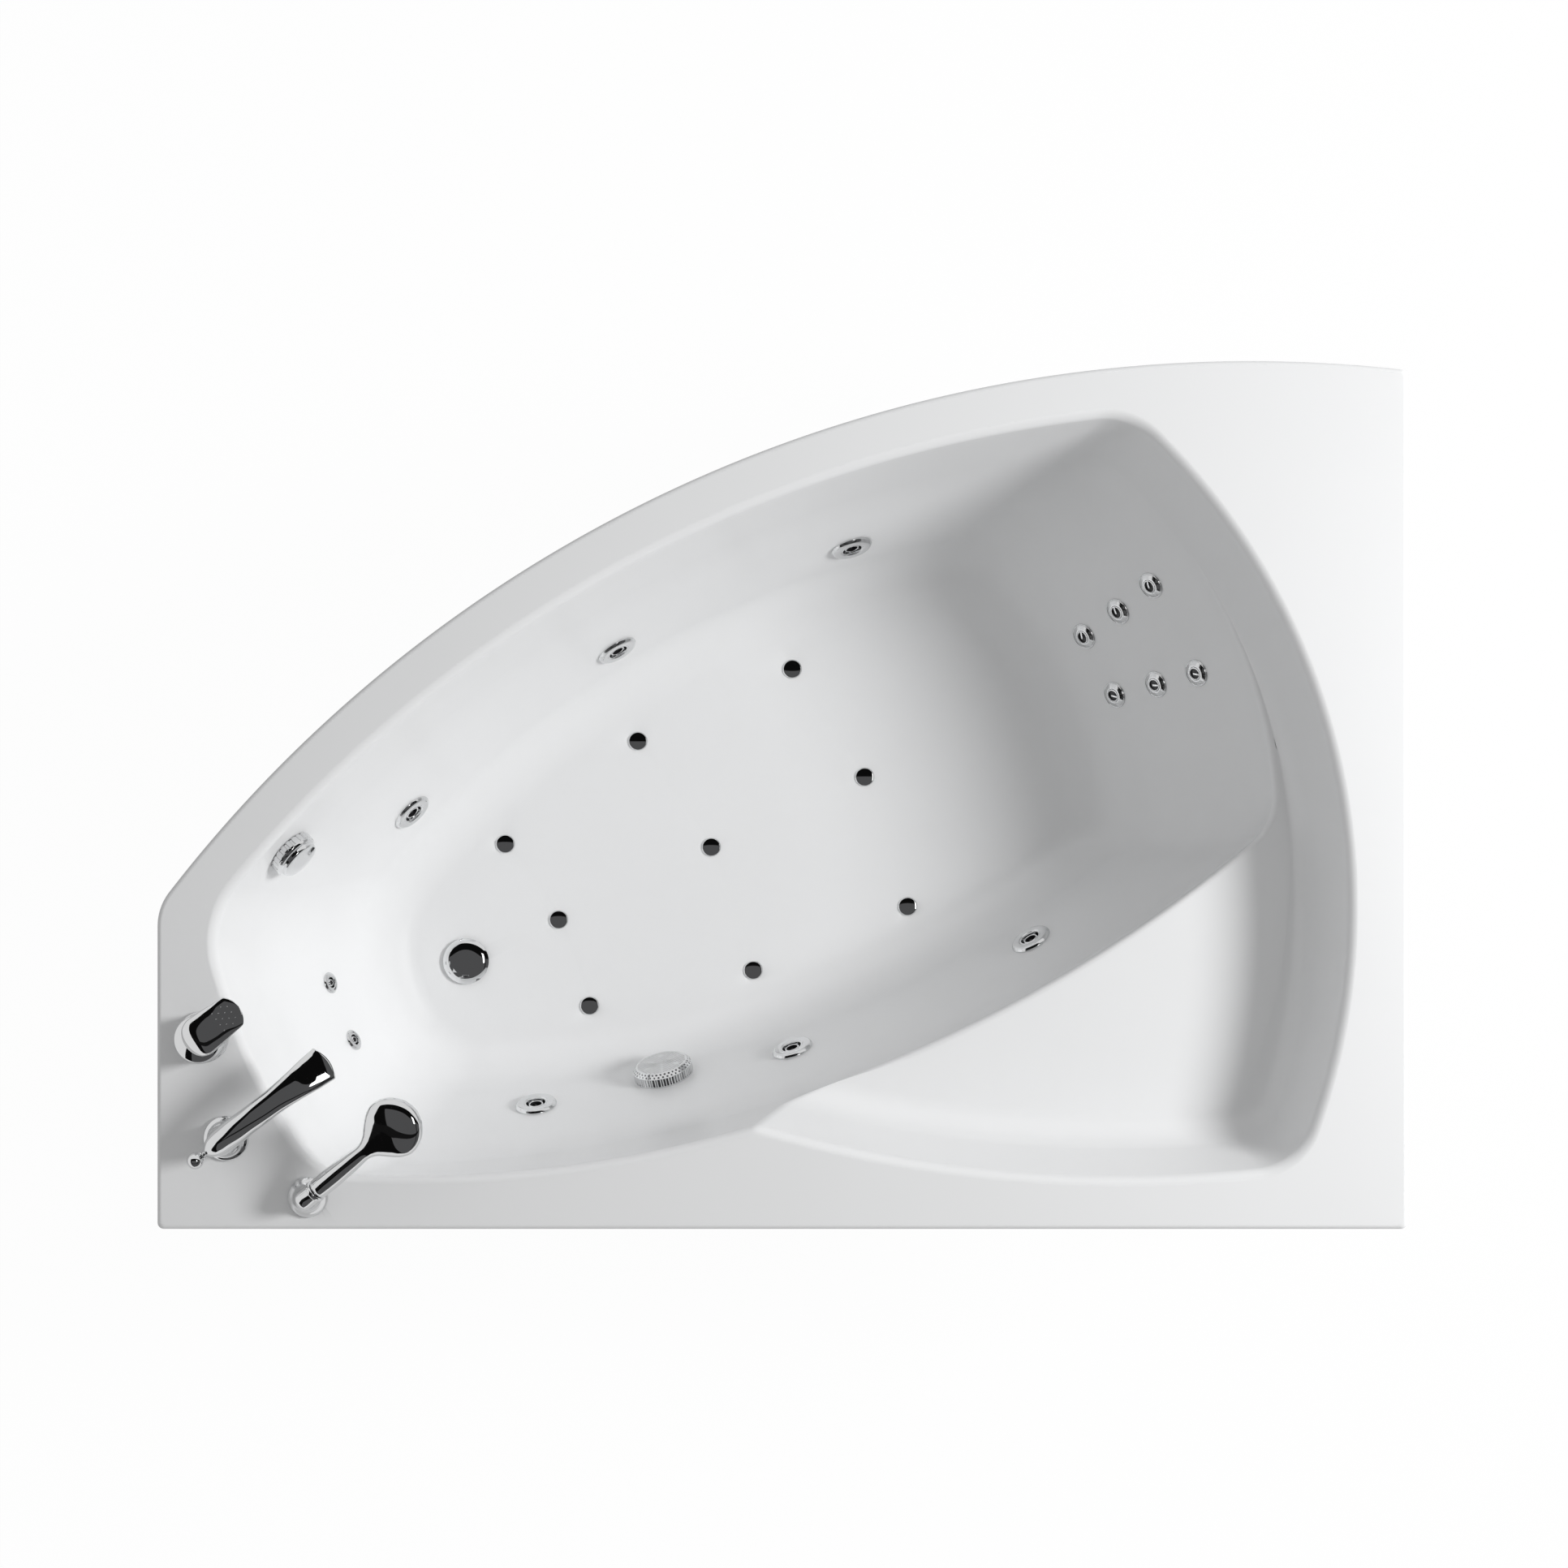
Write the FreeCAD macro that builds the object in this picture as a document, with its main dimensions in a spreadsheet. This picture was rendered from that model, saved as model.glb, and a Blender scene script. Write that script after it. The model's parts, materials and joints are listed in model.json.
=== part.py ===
import FreeCAD, Part
import Sketcher
import math
import os
import re

os.makedirs("parts", exist_ok=True)
doc = FreeCAD.newDocument("Bathtub")
Vector = FreeCAD.Vector
UP = Vector(0, 0, 1)

# Driving sizes, in millimetres
SIZES = [
    ("tub_length", 1800), ("tub_width", 1250), ("tub_height", 640),
    ("shell_wall", 6), ("lip_drop", 40),
    ("corner_round", 9), ("front_corner_round", 80), ("front_bow_radius", 1968),
    ("rim_flare", 12), ("shelf_depth", 135), ("basin_depth", 450),
    ("floor_round", 60), ("shelf_foot_round", 40), ("wall_blend", 90), ("skin_ledge", 0.6),
    ("overrun", 20), ("running_gap", 0.3), ("seat_gap", 0.5), ("foot_seat_gap", 0.8), ("grille_seat_gap", 0.9),
    # Basin sides: distance in from the tub's edge and radius, at rim, shelf and floor
    ("front_rim", 68), ("front_rim_radius", 1900),
    ("front_floor_run", 238), ("front_floor_radius", 1385),
    ("left_rim", 48), ("left_rim_radius", 1009),
    ("left_floor_run", 243), ("left_floor_radius", 566),
    ("wall_rim", 76), ("wall_rim_radius", 1683),
    ("wall_shelf_run", 77), ("wall_shelf_radius", 2044),
    ("wall_floor_run", 193), ("wall_floor_radius", 1640),
    ("right_rim", 83), ("right_rim_radius", 956),
    ("right_shelf_run", 134), ("right_shelf_radius", 905),
    ("back_rim", 73), ("back_rim_radius", 1883),
    ("back_shelf_run", 118), ("back_shelf_radius", 1838),
    ("seat_shelf_radius", 700), ("seat_floor_radius", 576),
    ("seat_floor_run", 398), ("tail_floor_radius", 620),
    # Basin corners at rim, shelf and floor
    ("left_front_rim_corner", 131), ("left_front_shelf_corner", 150), ("left_front_floor_corner", 200),
    ("right_front_rim_corner", 99), ("right_front_shelf_corner", 108), ("right_front_floor_corner", 131),
    ("right_back_rim_corner", 90), ("right_back_shelf_corner", 70),
    ("left_back_rim_corner", 110), ("left_back_shelf_corner", 115), ("left_back_floor_corner", 130),
    ("tongue_rim_corner", 30), ("tongue_shelf_corner", 30),
    ("seat_shelf_corner", 92), ("seat_floor_corner", 78),
    # Side jets
    ("side_jet_depth", 320), ("side_ring_radius", 32), ("side_ring_edge", 3), ("side_ring_height", 7),
    ("side_ring_crest", 24), ("side_mouth_radius", 14.5), ("side_barrel_radius", 23.7),
    ("side_barrel_length", 44), ("side_hole_radius", 24), ("side_socket_radius", 16.1),
    ("side_socket_depth", 27), ("side_ball_radius", 14), ("side_ball_drop", 6.5),
    ("side_ball_half", 6.5), ("side_nozzle_bore", 9),
    # Back jets
    ("back_jet_top_depth", 236), ("back_jet_middle_depth", 304), ("back_jet_low_depth", 374),
    ("back_ring_radius", 21), ("back_ring_edge", 1.5), ("back_ring_height", 5),
    ("back_mouth_radius", 10.6), ("back_barrel_radius", 15), ("back_hole_radius", 15.5),
    ("back_barrel_length", 40), ("back_socket_radius", 12), ("back_socket_depth", 6),
    ("rotor_head_radius", 6.5), ("rotor_offset", 3), ("rotor_front", 3.5), ("rotor_back", 2),
    ("rotor_shaft_radius", 3), ("rotor_shaft_end", 16), ("rotor_bore_end", 20), ("rotor_gap", 0.05),
    # Foot jets
    ("foot_jet_depth", 320), ("foot_ring_radius", 16.5), ("foot_ring_height", 4),
    ("foot_mouth_radius", 8), ("foot_barrel_radius", 11.5), ("foot_hole_radius", 12),
    ("foot_ring_edge", 1.5), ("foot_barrel_length", 38), ("foot_socket_radius", 9.3), ("foot_socket_depth", 18),
    ("foot_ball_radius", 7.6), ("foot_ball_drop", 4), ("foot_ball_half", 4.5), ("foot_nozzle_bore", 3.5),
    # Air jets in the floor
    ("air_cap_radius", 15), ("air_cap_height", 3.5),
    ("air_neck_radius", 8), ("air_hole_radius", 8.5), ("air_neck_length", 58),
    ("air_tee_radius", 11), ("air_pipe_radius", 9), ("air_tee_height", 24), ("header_side", 30),
    # Suction fitting
    ("suction_depth", 352), ("grille_radius", 46), ("grille_height", 20), ("grille_chamfer", 8),
    ("grille_wall", 3), ("grille_slot_width", 4), ("grille_slot_height", 7),
    ("suction_bore_radius", 26), ("suction_barrel_radius", 30), ("suction_hole_radius", 30.5),
    ("suction_flange_radius", 40), ("suction_flange_thick", 3), ("suction_barrel_length", 66),
    ("suction_pipe_radius", 25), ("suction_run_level", 235), ("suction_run_inset", 85),
    ("grille_lift", 12), ("grille_slots", 16),
    # Waste
    ("waste_flange_radius", 35), ("waste_flange_thick", 2.5), ("waste_throat_radius", 24),
    ("waste_barrel_radius", 27), ("waste_hole_radius", 27.5), 
    ("plug_radius", 36), ("plug_edge", 4), ("plug_crown", 3), ("plug_stem_radius", 4),
    ("plug_guide_gap", 0.05), ("guide_radius", 8),
    ("guide_rib", 3),
    ("waste_nut_radius", 38), ("waste_nut_thick", 12), ("gasket_thick", 3),
    ("trap_radius", 45), ("trap_bottom", 45), ("trap_wall", 3),
    ("outlet_radius", 20), ("outlet_bore", 17), ("outlet_level", 85), ("outlet_length", 60),
    ("outlet_collar_radius", 24), ("outlet_collar_length", 8),
    # Overflow
    ("overflow_depth", 75), ("overflow_hole_radius", 25.5), ("overflow_barrel_radius", 25),

    ("overflow_cup_length", 30), ("knob_radius", 36), ("knob_face_radius", 30), ("knob_depth", 26),
    ("knob_edge", 10), ("knob_shaft_radius", 5), ("knob_shaft_gap", 0.05),
    ("overflow_pipe_radius", 16), 
    # Taps on the deck
    ("deck_hole_radius", 17), ("tail_radius", 16), ("tail_drop", 70), ("deck_nut_radius", 27),
    ("deck_nut_thick", 8), ("mixer_radius", 37.5), ("mixer_collar", 6), ("mixer_body_radius", 34),
    ("mixer_body_height", 44), ("hub_radius", 33), ("hub_height", 14), ("hub_shaft_radius", 12),
    ("hub_shaft_depth", 16), ("hub_shaft_gap", 0.05), ("hub_ear_width", 16), ("hub_ear_height", 16),
    ("lever_pin_gap", 0.4), ("lever_reach", 72), ("lever_root_width", 47), ("lever_tip_width", 38),
    ("lever_root_height", 22), ("lever_tip_height", 9), ("lever_rise", 26), 
    ("valve_radius", 30), ("valve_height", 34), ("inlet_radius", 10.5), ("inlet_length", 20),
    ("inlet_offset", 16),
    ("spout_base_radius", 32.6), ("spout_collar", 5), ("spout_neck_radius", 21), ("spout_reach", 198),
    ("spout_heel", 26), ("spout_root_width", 44), ("spout_waist_width", 36), ("spout_mouth_width", 54),
    ("spout_root_height", 40), ("spout_waist_height", 27), ("spout_mouth_height", 13),
    ("spout_top", 88), ("spout_slot_width", 42), ("spout_slot_height", 5), ("spout_slot_depth", 25),
    ("diverter_ball_radius", 12), ("diverter_rod_radius", 3.5), ("diverter_gap", 0.05),
    ("diverter_reach", 44), 
    ("diverter_height", 56), ("diverter_sleeve", 18),
    ("holder_radius", 29), ("holder_edge", 4), ("holder_height", 30), ("holder_neck_radius", 15),

    ("handle_plug_radius", 11), ("handle_plug_length", 22), ("handle_root_radius", 13),
    ("handle_radius", 15.5), ("handle_length", 112), ("shower_reach", 166),
    ("shower_head_radius", 45), ("shower_head_crown", 24), ("shower_head_edge", 12),
    ("shower_face_radius", 38), ("shower_face_thick", 3),
    ("tap_pipe_radius", 8), 
    # Frame and feet
    ("rail_side", 30), ("rail_wall", 3), ("rail_top", 168), 
    ("post_side", 25), ("post_wall", 3), ("batten_width", 50), ("batten_length", 680),
    ("foot_pad_radius", 26), ("foot_pad_thick", 12), ("foot_rod_radius", 5), ("foot_rod_top", 162),
    ("foot_nut_radius", 9), ("foot_nut_thick", 7), ("foot_nut_drop", 1), ("foot_thread_gap", 0.05),
    ("foot_block_side", 24), ("foot_block_height", 24),
    # Pump, blower and pipes
    ("water_pipe_radius", 10), ("water_tee_radius", 14), ("water_tee_length", 30),
    ("pump_radius", 62), ("pump_length", 60), ("motor_radius", 55), ("motor_length", 150),
    ("pump_line", 205), ("pump_inlet_radius", 25), ("pump_inlet_length", 24),
    ("pump_outlet_radius", 20), ("pump_outlet_length", 40), ("tray_thick", 4), 
    ("saddle_width", 70), 
    ("blower_radius", 75), ("blower_height", 60), ("blower_motor_radius", 45),
    ("blower_motor_height", 45), 
    ("header_run", 315), ("duct_radius", 18), ("duct_collar_radius", 21), ("blower_port_length", 15),
    ("suction_floor", 4), ("waste_barrel_length", 62), ("guide_drop", 40), ("guide_length", 20),
    ("plug_stem_length", 48), ("overflow_elbow", 28), ("overflow_low_level", 100), ("overflow_shift", 75),
    ("overflow_collar_radius", 19), ("lever_pin_radius", 4), ("lever_pin_half", 18), ("lever_heel", 14),
    ("lever_round", 12), ("lever_lift", 5.5), ("lever_slot_height", 15), ("ear_cover", 3), ("lever_slot_play", 3), ("spout_heel_height", 16), ("spout_mouth_round", 9), ("diverter_face_radius", 6), ("tap_collar_radius", 10), ("holder_mouth", 24),
    ("shower_head_top_radius", 26), ("tray_margin", 30), ("suction_collar_radius", 28), ("suction_bend", 42), ("neck_radius", 11.5), ("tray_hole_radius", 14), ("foot_bend", 80),
    ("right_bend", 50),
]

sheet = doc.addObject("Spreadsheet::Sheet", "Sizes")
for row, (alias, amount) in enumerate(SIZES, 1):
    sheet.set("A%d" % row, alias)
    sheet.set("B%d" % row, str(amount))
    sheet.setAlias("B%d" % row, alias)
doc.recompute()


class Named:
    """Reads the sheet's cells as attributes."""

    def __getattr__(self, alias):
        return float(sheet.get(alias))


S = Named()

# Angles, in degrees
TANGENT_ANGLE = 35.0
spout_waist_share = 0.4
TAP_ANGLE = 37.0
SHOWER_ANGLE = 39.4
SHOWER_RISE = 20.0

# Places along each side, as shares of half the length or half the width
front_apex_share, front_floor_apex_share = 0.749, 0.533
left_apex_share, left_floor_apex_share = 0.050, -0.166
wall_apex_share, wall_shelf_apex_share, wall_floor_apex_share = -0.586, -0.689, -0.580
right_apex_share, back_apex_share, seat_apex_share = -0.259, 0.542, -0.152
front_shelf_share, left_shelf_share, tongue_reach_share = 0.25, 0.15, 0.426
side_jet_front_share = [0.117, -0.282, -0.631]
side_jet_wall_share = [0.423, 0.017, -0.419]
back_jet_share = [(0.504, 0.293), (0.447, 0.269), (0.391, 0.246)]
foot_jet_share = [-0.462, -0.602]
air_jet_share = [
    [(0.017, 0.314), (-0.252, 0.133), (-0.483, -0.125)],
    [(0.143, 0.043), (-0.124, -0.133), (-0.390, -0.315)],
    [(0.218, -0.282), (-0.051, -0.442), (-0.336, -0.531)],
]
waste_share = (-0.551, -0.419)
suction_share = -0.202
overflow_share = -0.800
mixer_share, spout_share, holder_share = (-0.926, -0.557), (-0.889, -0.790), (-0.758, -0.925)
post_share = [(-0.950, -0.920), (0.950, -0.920), (0.950, 0.896), (-0.958, -0.264), (-0.293, 0.552), (0.289, 0.868)]
batten_share, batten_turns = [(0.0, 0.128), (0.0, -0.232)], (27, 22)
pump_share, blower_share = (0.689, -0.770), (0.733, -0.480)

half_length = S.tub_length / 2
half_width = S.tub_width / 2
floor_top = S.tub_height - S.basin_depth
deck_bottom = S.tub_height - S.shell_wall


def fail(message):
    raise RuntimeError(message)


# Basin outlines
def circle_front(run, radius, apex):
    return (apex * half_length, half_width - run - radius, radius)


def circle_back(run, radius, apex):
    return (apex * half_length, -half_width + run + radius, radius)


def circle_left(run, radius, apex):
    return (-half_length + run + radius, apex * half_width, radius)


def circle_right(run, radius, apex):
    return (half_length - run - radius, apex * half_width, radius)


def blend(first, second, share):
    return tuple(a + (b - a) * share for a, b in zip(first, second))


def touching(circle, radius):
    """Circle of another radius that shares the point of the first at the tangent angle."""
    turn = math.radians(TANGENT_ANGLE)
    gap = circle[2] - radius
    return (circle[0] + gap * math.cos(turn), circle[1] + gap * math.sin(turn), radius)


front_rim = circle_front(S.front_rim, S.front_rim_radius, front_apex_share)
front_floor = circle_front(S.front_floor_run, S.front_floor_radius, front_floor_apex_share)
left_rim = circle_left(S.left_rim, S.left_rim_radius, left_apex_share)
left_floor = circle_left(S.left_floor_run, S.left_floor_radius, left_floor_apex_share)
right_rim = circle_right(S.right_rim, S.right_rim_radius, right_apex_share)
right_shelf = circle_right(S.right_shelf_run, S.right_shelf_radius, right_apex_share)
seat_floor = circle_right(S.seat_floor_run, S.seat_floor_radius, seat_apex_share)
SIDES = {
    "front": (front_rim, blend(front_rim, front_floor, front_shelf_share), front_floor),
    "left": (left_rim, blend(left_rim, left_floor, left_shelf_share), left_floor),
    "wall": (
        circle_back(S.wall_rim, S.wall_rim_radius, wall_apex_share),
        circle_back(S.wall_shelf_run, S.wall_shelf_radius, wall_shelf_apex_share),
        circle_back(S.wall_floor_run, S.wall_floor_radius, wall_floor_apex_share),
    ),
    "right": (right_rim, right_shelf, touching(seat_floor, S.tail_floor_radius)),
    "back": (
        circle_back(S.back_rim, S.back_rim_radius, back_apex_share),
        circle_back(S.back_shelf_run, S.back_shelf_radius, back_apex_share),
        None,
    ),
}
CORNERS = {
    "left_front": (S.left_front_rim_corner, S.left_front_shelf_corner, S.left_front_floor_corner),
    "right_front": (S.right_front_rim_corner, S.right_front_shelf_corner, S.right_front_floor_corner),
    "right_back": (S.right_back_rim_corner, S.right_back_shelf_corner, None),
    "left_back": (S.left_back_rim_corner, S.left_back_shelf_corner, S.left_back_floor_corner),
    "tongue": (S.tongue_rim_corner, S.tongue_shelf_corner, None),
    "seat": (None, S.seat_shelf_corner, S.seat_floor_corner),
}


def side_at(name, depth):
    """Circle of one basin side at a depth, straight to the shelf and blended below it."""
    if name == "seat":
        share = (depth - S.shelf_depth) / (S.basin_depth - S.shelf_depth)
        radius = S.seat_shelf_radius + (S.seat_floor_radius - S.seat_shelf_radius) * share
        return touching(side_at("right", depth), radius)
    rim, shelf, floor = SIDES[name]
    steep = [(b - a) / S.shelf_depth for a, b in zip(rim, shelf)]
    if depth <= S.shelf_depth or floor is None:
        return tuple(a + slope * depth for a, slope in zip(rim, steep))
    drop = S.basin_depth - S.shelf_depth
    below = depth - S.shelf_depth
    out = []
    for a, b, slope in zip(shelf, floor, steep):
        last = (b - a - slope * S.wall_blend / 2) / (drop - S.wall_blend / 2)
        if below < S.wall_blend:
            out.append(a + slope * below + (last - slope) * below * below / (2 * S.wall_blend))
        else:
            out.append(a + last * (below - S.wall_blend / 2) + slope * S.wall_blend / 2)
    return tuple(out)


def corner_at(name, depth):
    rim, shelf, floor = CORNERS[name]
    if depth <= S.shelf_depth:
        rim = shelf if rim is None else rim
        return rim + (shelf - rim) * depth / S.shelf_depth
    floor = shelf if floor is None else floor
    return shelf + (floor - shelf) * (depth - S.shelf_depth) / (S.basin_depth - S.shelf_depth)


def crossing(first, first_radius, second, second_radius, toward):
    """Crossing point of two circles that lies furthest toward a direction."""
    dx, dy = second[0] - first[0], second[1] - first[1]
    span = math.hypot(dx, dy)
    along = (first_radius ** 2 - second_radius ** 2 + span ** 2) / (2 * span)
    rise = math.sqrt(first_radius ** 2 - along ** 2)
    foot = (first[0] + along * dx / span, first[1] + along * dy / span)
    both = [
        (foot[0] - rise * dy / span, foot[1] + rise * dx / span),
        (foot[0] + rise * dy / span, foot[1] - rise * dx / span),
    ]
    return max(both, key=lambda p: p[0] * toward[0] + p[1] * toward[1])


def onto(circle, point, radius):
    dx, dy = point[0] - circle[0], point[1] - circle[1]
    span = math.hypot(dx, dy)
    return (circle[0] + dx * radius / span, circle[1] + dy * radius / span)


def arc(start, end, circle, radius, level):
    middle = onto(circle, ((start[0] + end[0]) / 2, (start[1] + end[1]) / 2), radius)
    return Part.Arc(Vector(*start, level), Vector(*middle, level), Vector(*end, level)).toShape()


def outline(sides, corners, level):
    """Closed wire of arcs, joined by fillets inside or outside, or at the tangent angle."""
    joints = []
    for index, (radius, toward, kind) in enumerate(corners):
        first, second = sides[index], sides[(index + 1) % len(sides)]
        if kind == "tangent":
            turn = math.radians(TANGENT_ANGLE)
            point = (first[0] + first[2] * math.cos(turn), first[1] + first[2] * math.sin(turn))
            joints.append((point, point, None, None))
            continue
        sign = -1 if kind == "inside" else 1
        centre = crossing(first, first[2] + sign * radius, second, second[2] + sign * radius, toward)
        joints.append((onto(first, centre, first[2]), onto(second, centre, second[2]), centre, radius))
    edges = []
    for index, side in enumerate(sides):
        start, end = joints[index - 1][1], joints[index][0]
        edges.append(arc(start, end, side, side[2], level))
        first, second, centre, radius = joints[index]
        if centre is not None:
            edges.append(arc(first, second, centre, radius, level))
    return Part.Wire(edges)


def grown(circle, growth):
    return (circle[0], circle[1], circle[2] + growth)


def upper_outline(depth, growth, level, foot=0.0):
    """Whole basin between rim and shelf; the foot draws the shelf's own walls in."""
    left, wall, back, right, front = [
        grown(side_at(name, depth), growth) for name in ("left", "wall", "back", "right", "front")
    ]
    back = grown(back, -foot)
    low = touching(right, right[2] - foot / tongue_reach_share)
    corners = [
        (corner_at("left_back", depth) + growth, (-1, -1), "inside"),
        (corner_at("tongue", depth) - growth, (0, -1), "outside"),
        (corner_at("right_back", depth) + growth, (1, -1), "inside"),
        (0, None, "tangent"),
        (corner_at("right_front", depth) + growth, (1, 1), "inside"),
        (corner_at("left_front", depth) + growth, (-1, 1), "inside"),
    ]
    return outline([left, wall, back, low, right, front], corners, level)


def lower_outline(depth, growth, level):
    """Deep basin below the shelf."""
    sides = [grown(side_at(name, depth), growth) for name in ("left", "wall", "seat", "right", "front")]
    corners = [
        (corner_at("left_back", depth) + growth, (-1, -1), "inside"),
        (corner_at("seat", depth) + growth, (1, -1), "inside"),
        (0, None, "tangent"),
        (corner_at("right_front", depth) + growth, (1, 1), "inside"),
        (corner_at("left_front", depth) + growth, (-1, 1), "inside"),
    ]
    return outline(sides, corners, level)


def ruled(wires):
    return Part.makeLoft(wires, True, True)


def hollow(growth):
    """Space of the basin, grown by the shell's wall for its outer side."""
    top = S.tub_height
    pieces = []
    straight = 0.0
    if not growth:
        straight = S.rim_flare
        mouth = []
        for turn in (0, 45, 90):
            turn = math.radians(turn)
            drop = S.rim_flare * (1 - math.cos(turn))
            mouth.append(upper_outline(drop, S.rim_flare * (1 - math.sin(turn)), top - drop))
        pieces.append(Part.Face(mouth[0]).extrude(UP * S.overrun))
        pieces.append(ruled(mouth))
    foot_start = S.shelf_depth - S.shelf_foot_round
    pieces.append(ruled([
        upper_outline(straight, growth, top - straight),
        upper_outline(foot_start, growth, top - foot_start),
    ]))
    foot = []
    for turn in (0, 45, 90):
        turn = math.radians(turn)
        depth = foot_start + (S.shelf_foot_round + growth) * math.sin(turn)
        inward = S.shelf_foot_round + growth - (S.shelf_foot_round + growth) * math.cos(turn)
        foot.append(upper_outline(depth, growth, top - depth, inward))
    pieces.append(ruled(foot))
    deep = []
    floor_start = S.basin_depth - S.floor_round
    for below in (growth, S.wall_blend / 2, S.wall_blend, floor_start - S.shelf_depth):
        skin = growth - S.skin_ledge if growth and below == growth else growth
        deep.append(lower_outline(S.shelf_depth + below, skin, top - S.shelf_depth - below))
    for turn in (45, 90) if growth else (30, 60, 90):
        turn = math.radians(turn)
        depth = floor_start + S.floor_round * math.sin(turn)
        level = top - floor_start - (S.floor_round + growth) * math.sin(turn)
        deep.append(lower_outline(depth, (S.floor_round + growth) * math.cos(turn) - S.floor_round, level))
    pieces.append(ruled(deep))
    return pieces[0].multiFuse(pieces[1:])


def frame_at(point, axis, across=None):
    """Placement with local Z along the axis and local X as near as it can be to across."""
    axis = Vector(axis).normalize()
    across = Vector(across) if across else UP.cross(axis)
    if across.Length < 1e-9:
        across = Vector(1, 0, 0)
    return FreeCAD.Placement(Vector(point), FreeCAD.Rotation(across, Vector(), axis, "ZXY"))


def shifted(placement, x=0.0, y=0.0, z=0.0):
    return placement.multiply(FreeCAD.Placement(Vector(x, y, z), FreeCAD.Rotation()))


def wall_point(name, along, depth):
    cx, cy, radius = side_at(name, depth)
    if name in ("front", "wall"):
        reach = math.sqrt(radius ** 2 - (along - cx) ** 2)
        y = cy + reach if name == "front" else cy - reach
        return Vector(along, y, S.tub_height - depth)
    reach = math.sqrt(radius ** 2 - (along - cy) ** 2)
    x = cx - reach if name == "left" else cx + reach
    return Vector(x, along, S.tub_height - depth)


def wall_frame(name, along, depth):
    """Placement on the basin wall, local Z square to it and into the basin."""
    step = S.shell_wall
    point = wall_point(name, along, depth)
    sideways = wall_point(name, along + step, depth) - wall_point(name, along - step, depth)
    down = wall_point(name, along, depth + step) - wall_point(name, along, depth - step)
    normal = sideways.cross(down)
    middle = Vector(0, 0, S.tub_height)
    if normal.dot(middle - point) < 0:
        normal = normal * -1
    return frame_at(point, normal, sideways)


def settled(placement):
    """Placement moved onto the modelled wall and turned square to it."""
    _, points, details = basin_skin.distToShape(Part.Vertex(placement.Base))
    axis = placement.Rotation.multVec(UP)
    if details[0][0] == "Face":
        normal = basin_skin.Faces[details[0][1]].normalAt(*details[0][2])
        axis = normal if normal.dot(axis) > 0 else normal * -1
    return frame_at(points[0][0], axis)


def place(share, level):
    return Vector(share[0] * half_length, share[1] * half_width, level)


basin = hollow(0.0)
basin_skin = basin.Shells[0]
side_frames = [("front", share * half_length, S.side_jet_depth) for share in side_jet_front_share]
side_frames += [("wall", share * half_length, S.side_jet_depth) for share in side_jet_wall_share]
side_frames = [settled(wall_frame(*spot)) for spot in side_frames]
back_depths = (S.back_jet_top_depth, S.back_jet_middle_depth, S.back_jet_low_depth)
back_frames = [
    settled(wall_frame("seat", share * half_width, depth))
    for column in (0, 1) for depth, share in zip(back_depths, [pair[column] for pair in back_jet_share])
]
foot_frames = [settled(wall_frame("left", share * half_width, S.foot_jet_depth)) for share in foot_jet_share]
air_frames = [frame_at(place(share, floor_top), UP) for line in air_jet_share for share in line]
waste_frame = frame_at(place(waste_share, floor_top), UP)
suction_frame = settled(wall_frame("wall", suction_share * half_length, S.suction_depth))
overflow_frame = settled(wall_frame("front", overflow_share * half_length, S.overflow_depth))
mixer_frame = frame_at(place(mixer_share, S.tub_height), UP)
spout_frame = frame_at(place(spout_share, S.tub_height), UP)
holder_frame = frame_at(place(holder_share, S.tub_height), UP)

nodes = []


def keep(feature, label):
    feature.Label = label
    nodes.append(feature)
    return feature


def solid_node(label, shape, placement=None):
    feature = doc.addObject("Part::Feature", label)
    feature.Shape = shape
    if placement:
        feature.Placement = placement
    return keep(feature, label)


def expression(text):
    return re.sub(r"[a-z][a-z_]+", lambda found: "Sizes." + found.group(0), text)


def worth(text):
    """Value of a sum of sheet names, such as ring - wall."""
    total = 0.0
    sign = 1
    for word in re.findall(r"[+-]|[\w.]+", text):
        if word in "+-":
            sign = 1 if word == "+" else -1
        else:
            total += sign * (float(word) if word[0].isdigit() else getattr(S, word))
            sign = 1
    return total


def turned(name, profile):
    """Body turned about its own Z from corner points given as sums of sheet names."""
    body = doc.addObject("PartDesign::Body", name)
    sketch = body.newObject("Sketcher::SketchObject", name + "_profile")
    plane = next(item for item in body.Origin.OriginFeatures if item.Role == "XZ_Plane")
    sketch.AttachmentSupport = [(plane, "")]
    sketch.MapMode = "FlatFace"
    points = [Vector(worth(radius), worth(level), 0) for radius, level in profile]
    count = len(points)
    for index in range(count):
        sketch.addGeometry(Part.LineSegment(points[index], points[(index + 1) % count]))
    for index in range(count):
        sketch.addConstraint(Sketcher.Constraint("Coincident", index, 2, (index + 1) % count, 1))
    for index, (radius, level) in enumerate(profile):
        for kind, text, value in (("DistanceX", radius, points[index].x), ("DistanceY", level, points[index].y)):
            item = sketch.addConstraint(Sketcher.Constraint(kind, -1, 1, index, 1, value))
            if re.search("[a-z]", text):
                sketch.setExpression("Constraints[%d]" % item, expression(text))
    turn = body.newObject("PartDesign::Revolution", name + "_turn")
    turn.Profile = sketch
    turn.ReferenceAxis = (sketch, ["V_Axis"])
    turn.Angle = 360
    return body


def cell(name, kind, placement, **sizes):
    """Part primitive whose sizes are sums of sheet names."""
    feature = doc.addObject("Part::" + kind, name)
    for key, text in sizes.items():
        feature.setExpression(key, expression(text))
    feature.Placement = placement
    return feature


def joined(kind, name, first, second):
    feature = doc.addObject("Part::" + kind, name)
    feature.Base = first
    feature.Tool = second
    return feature


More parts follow.
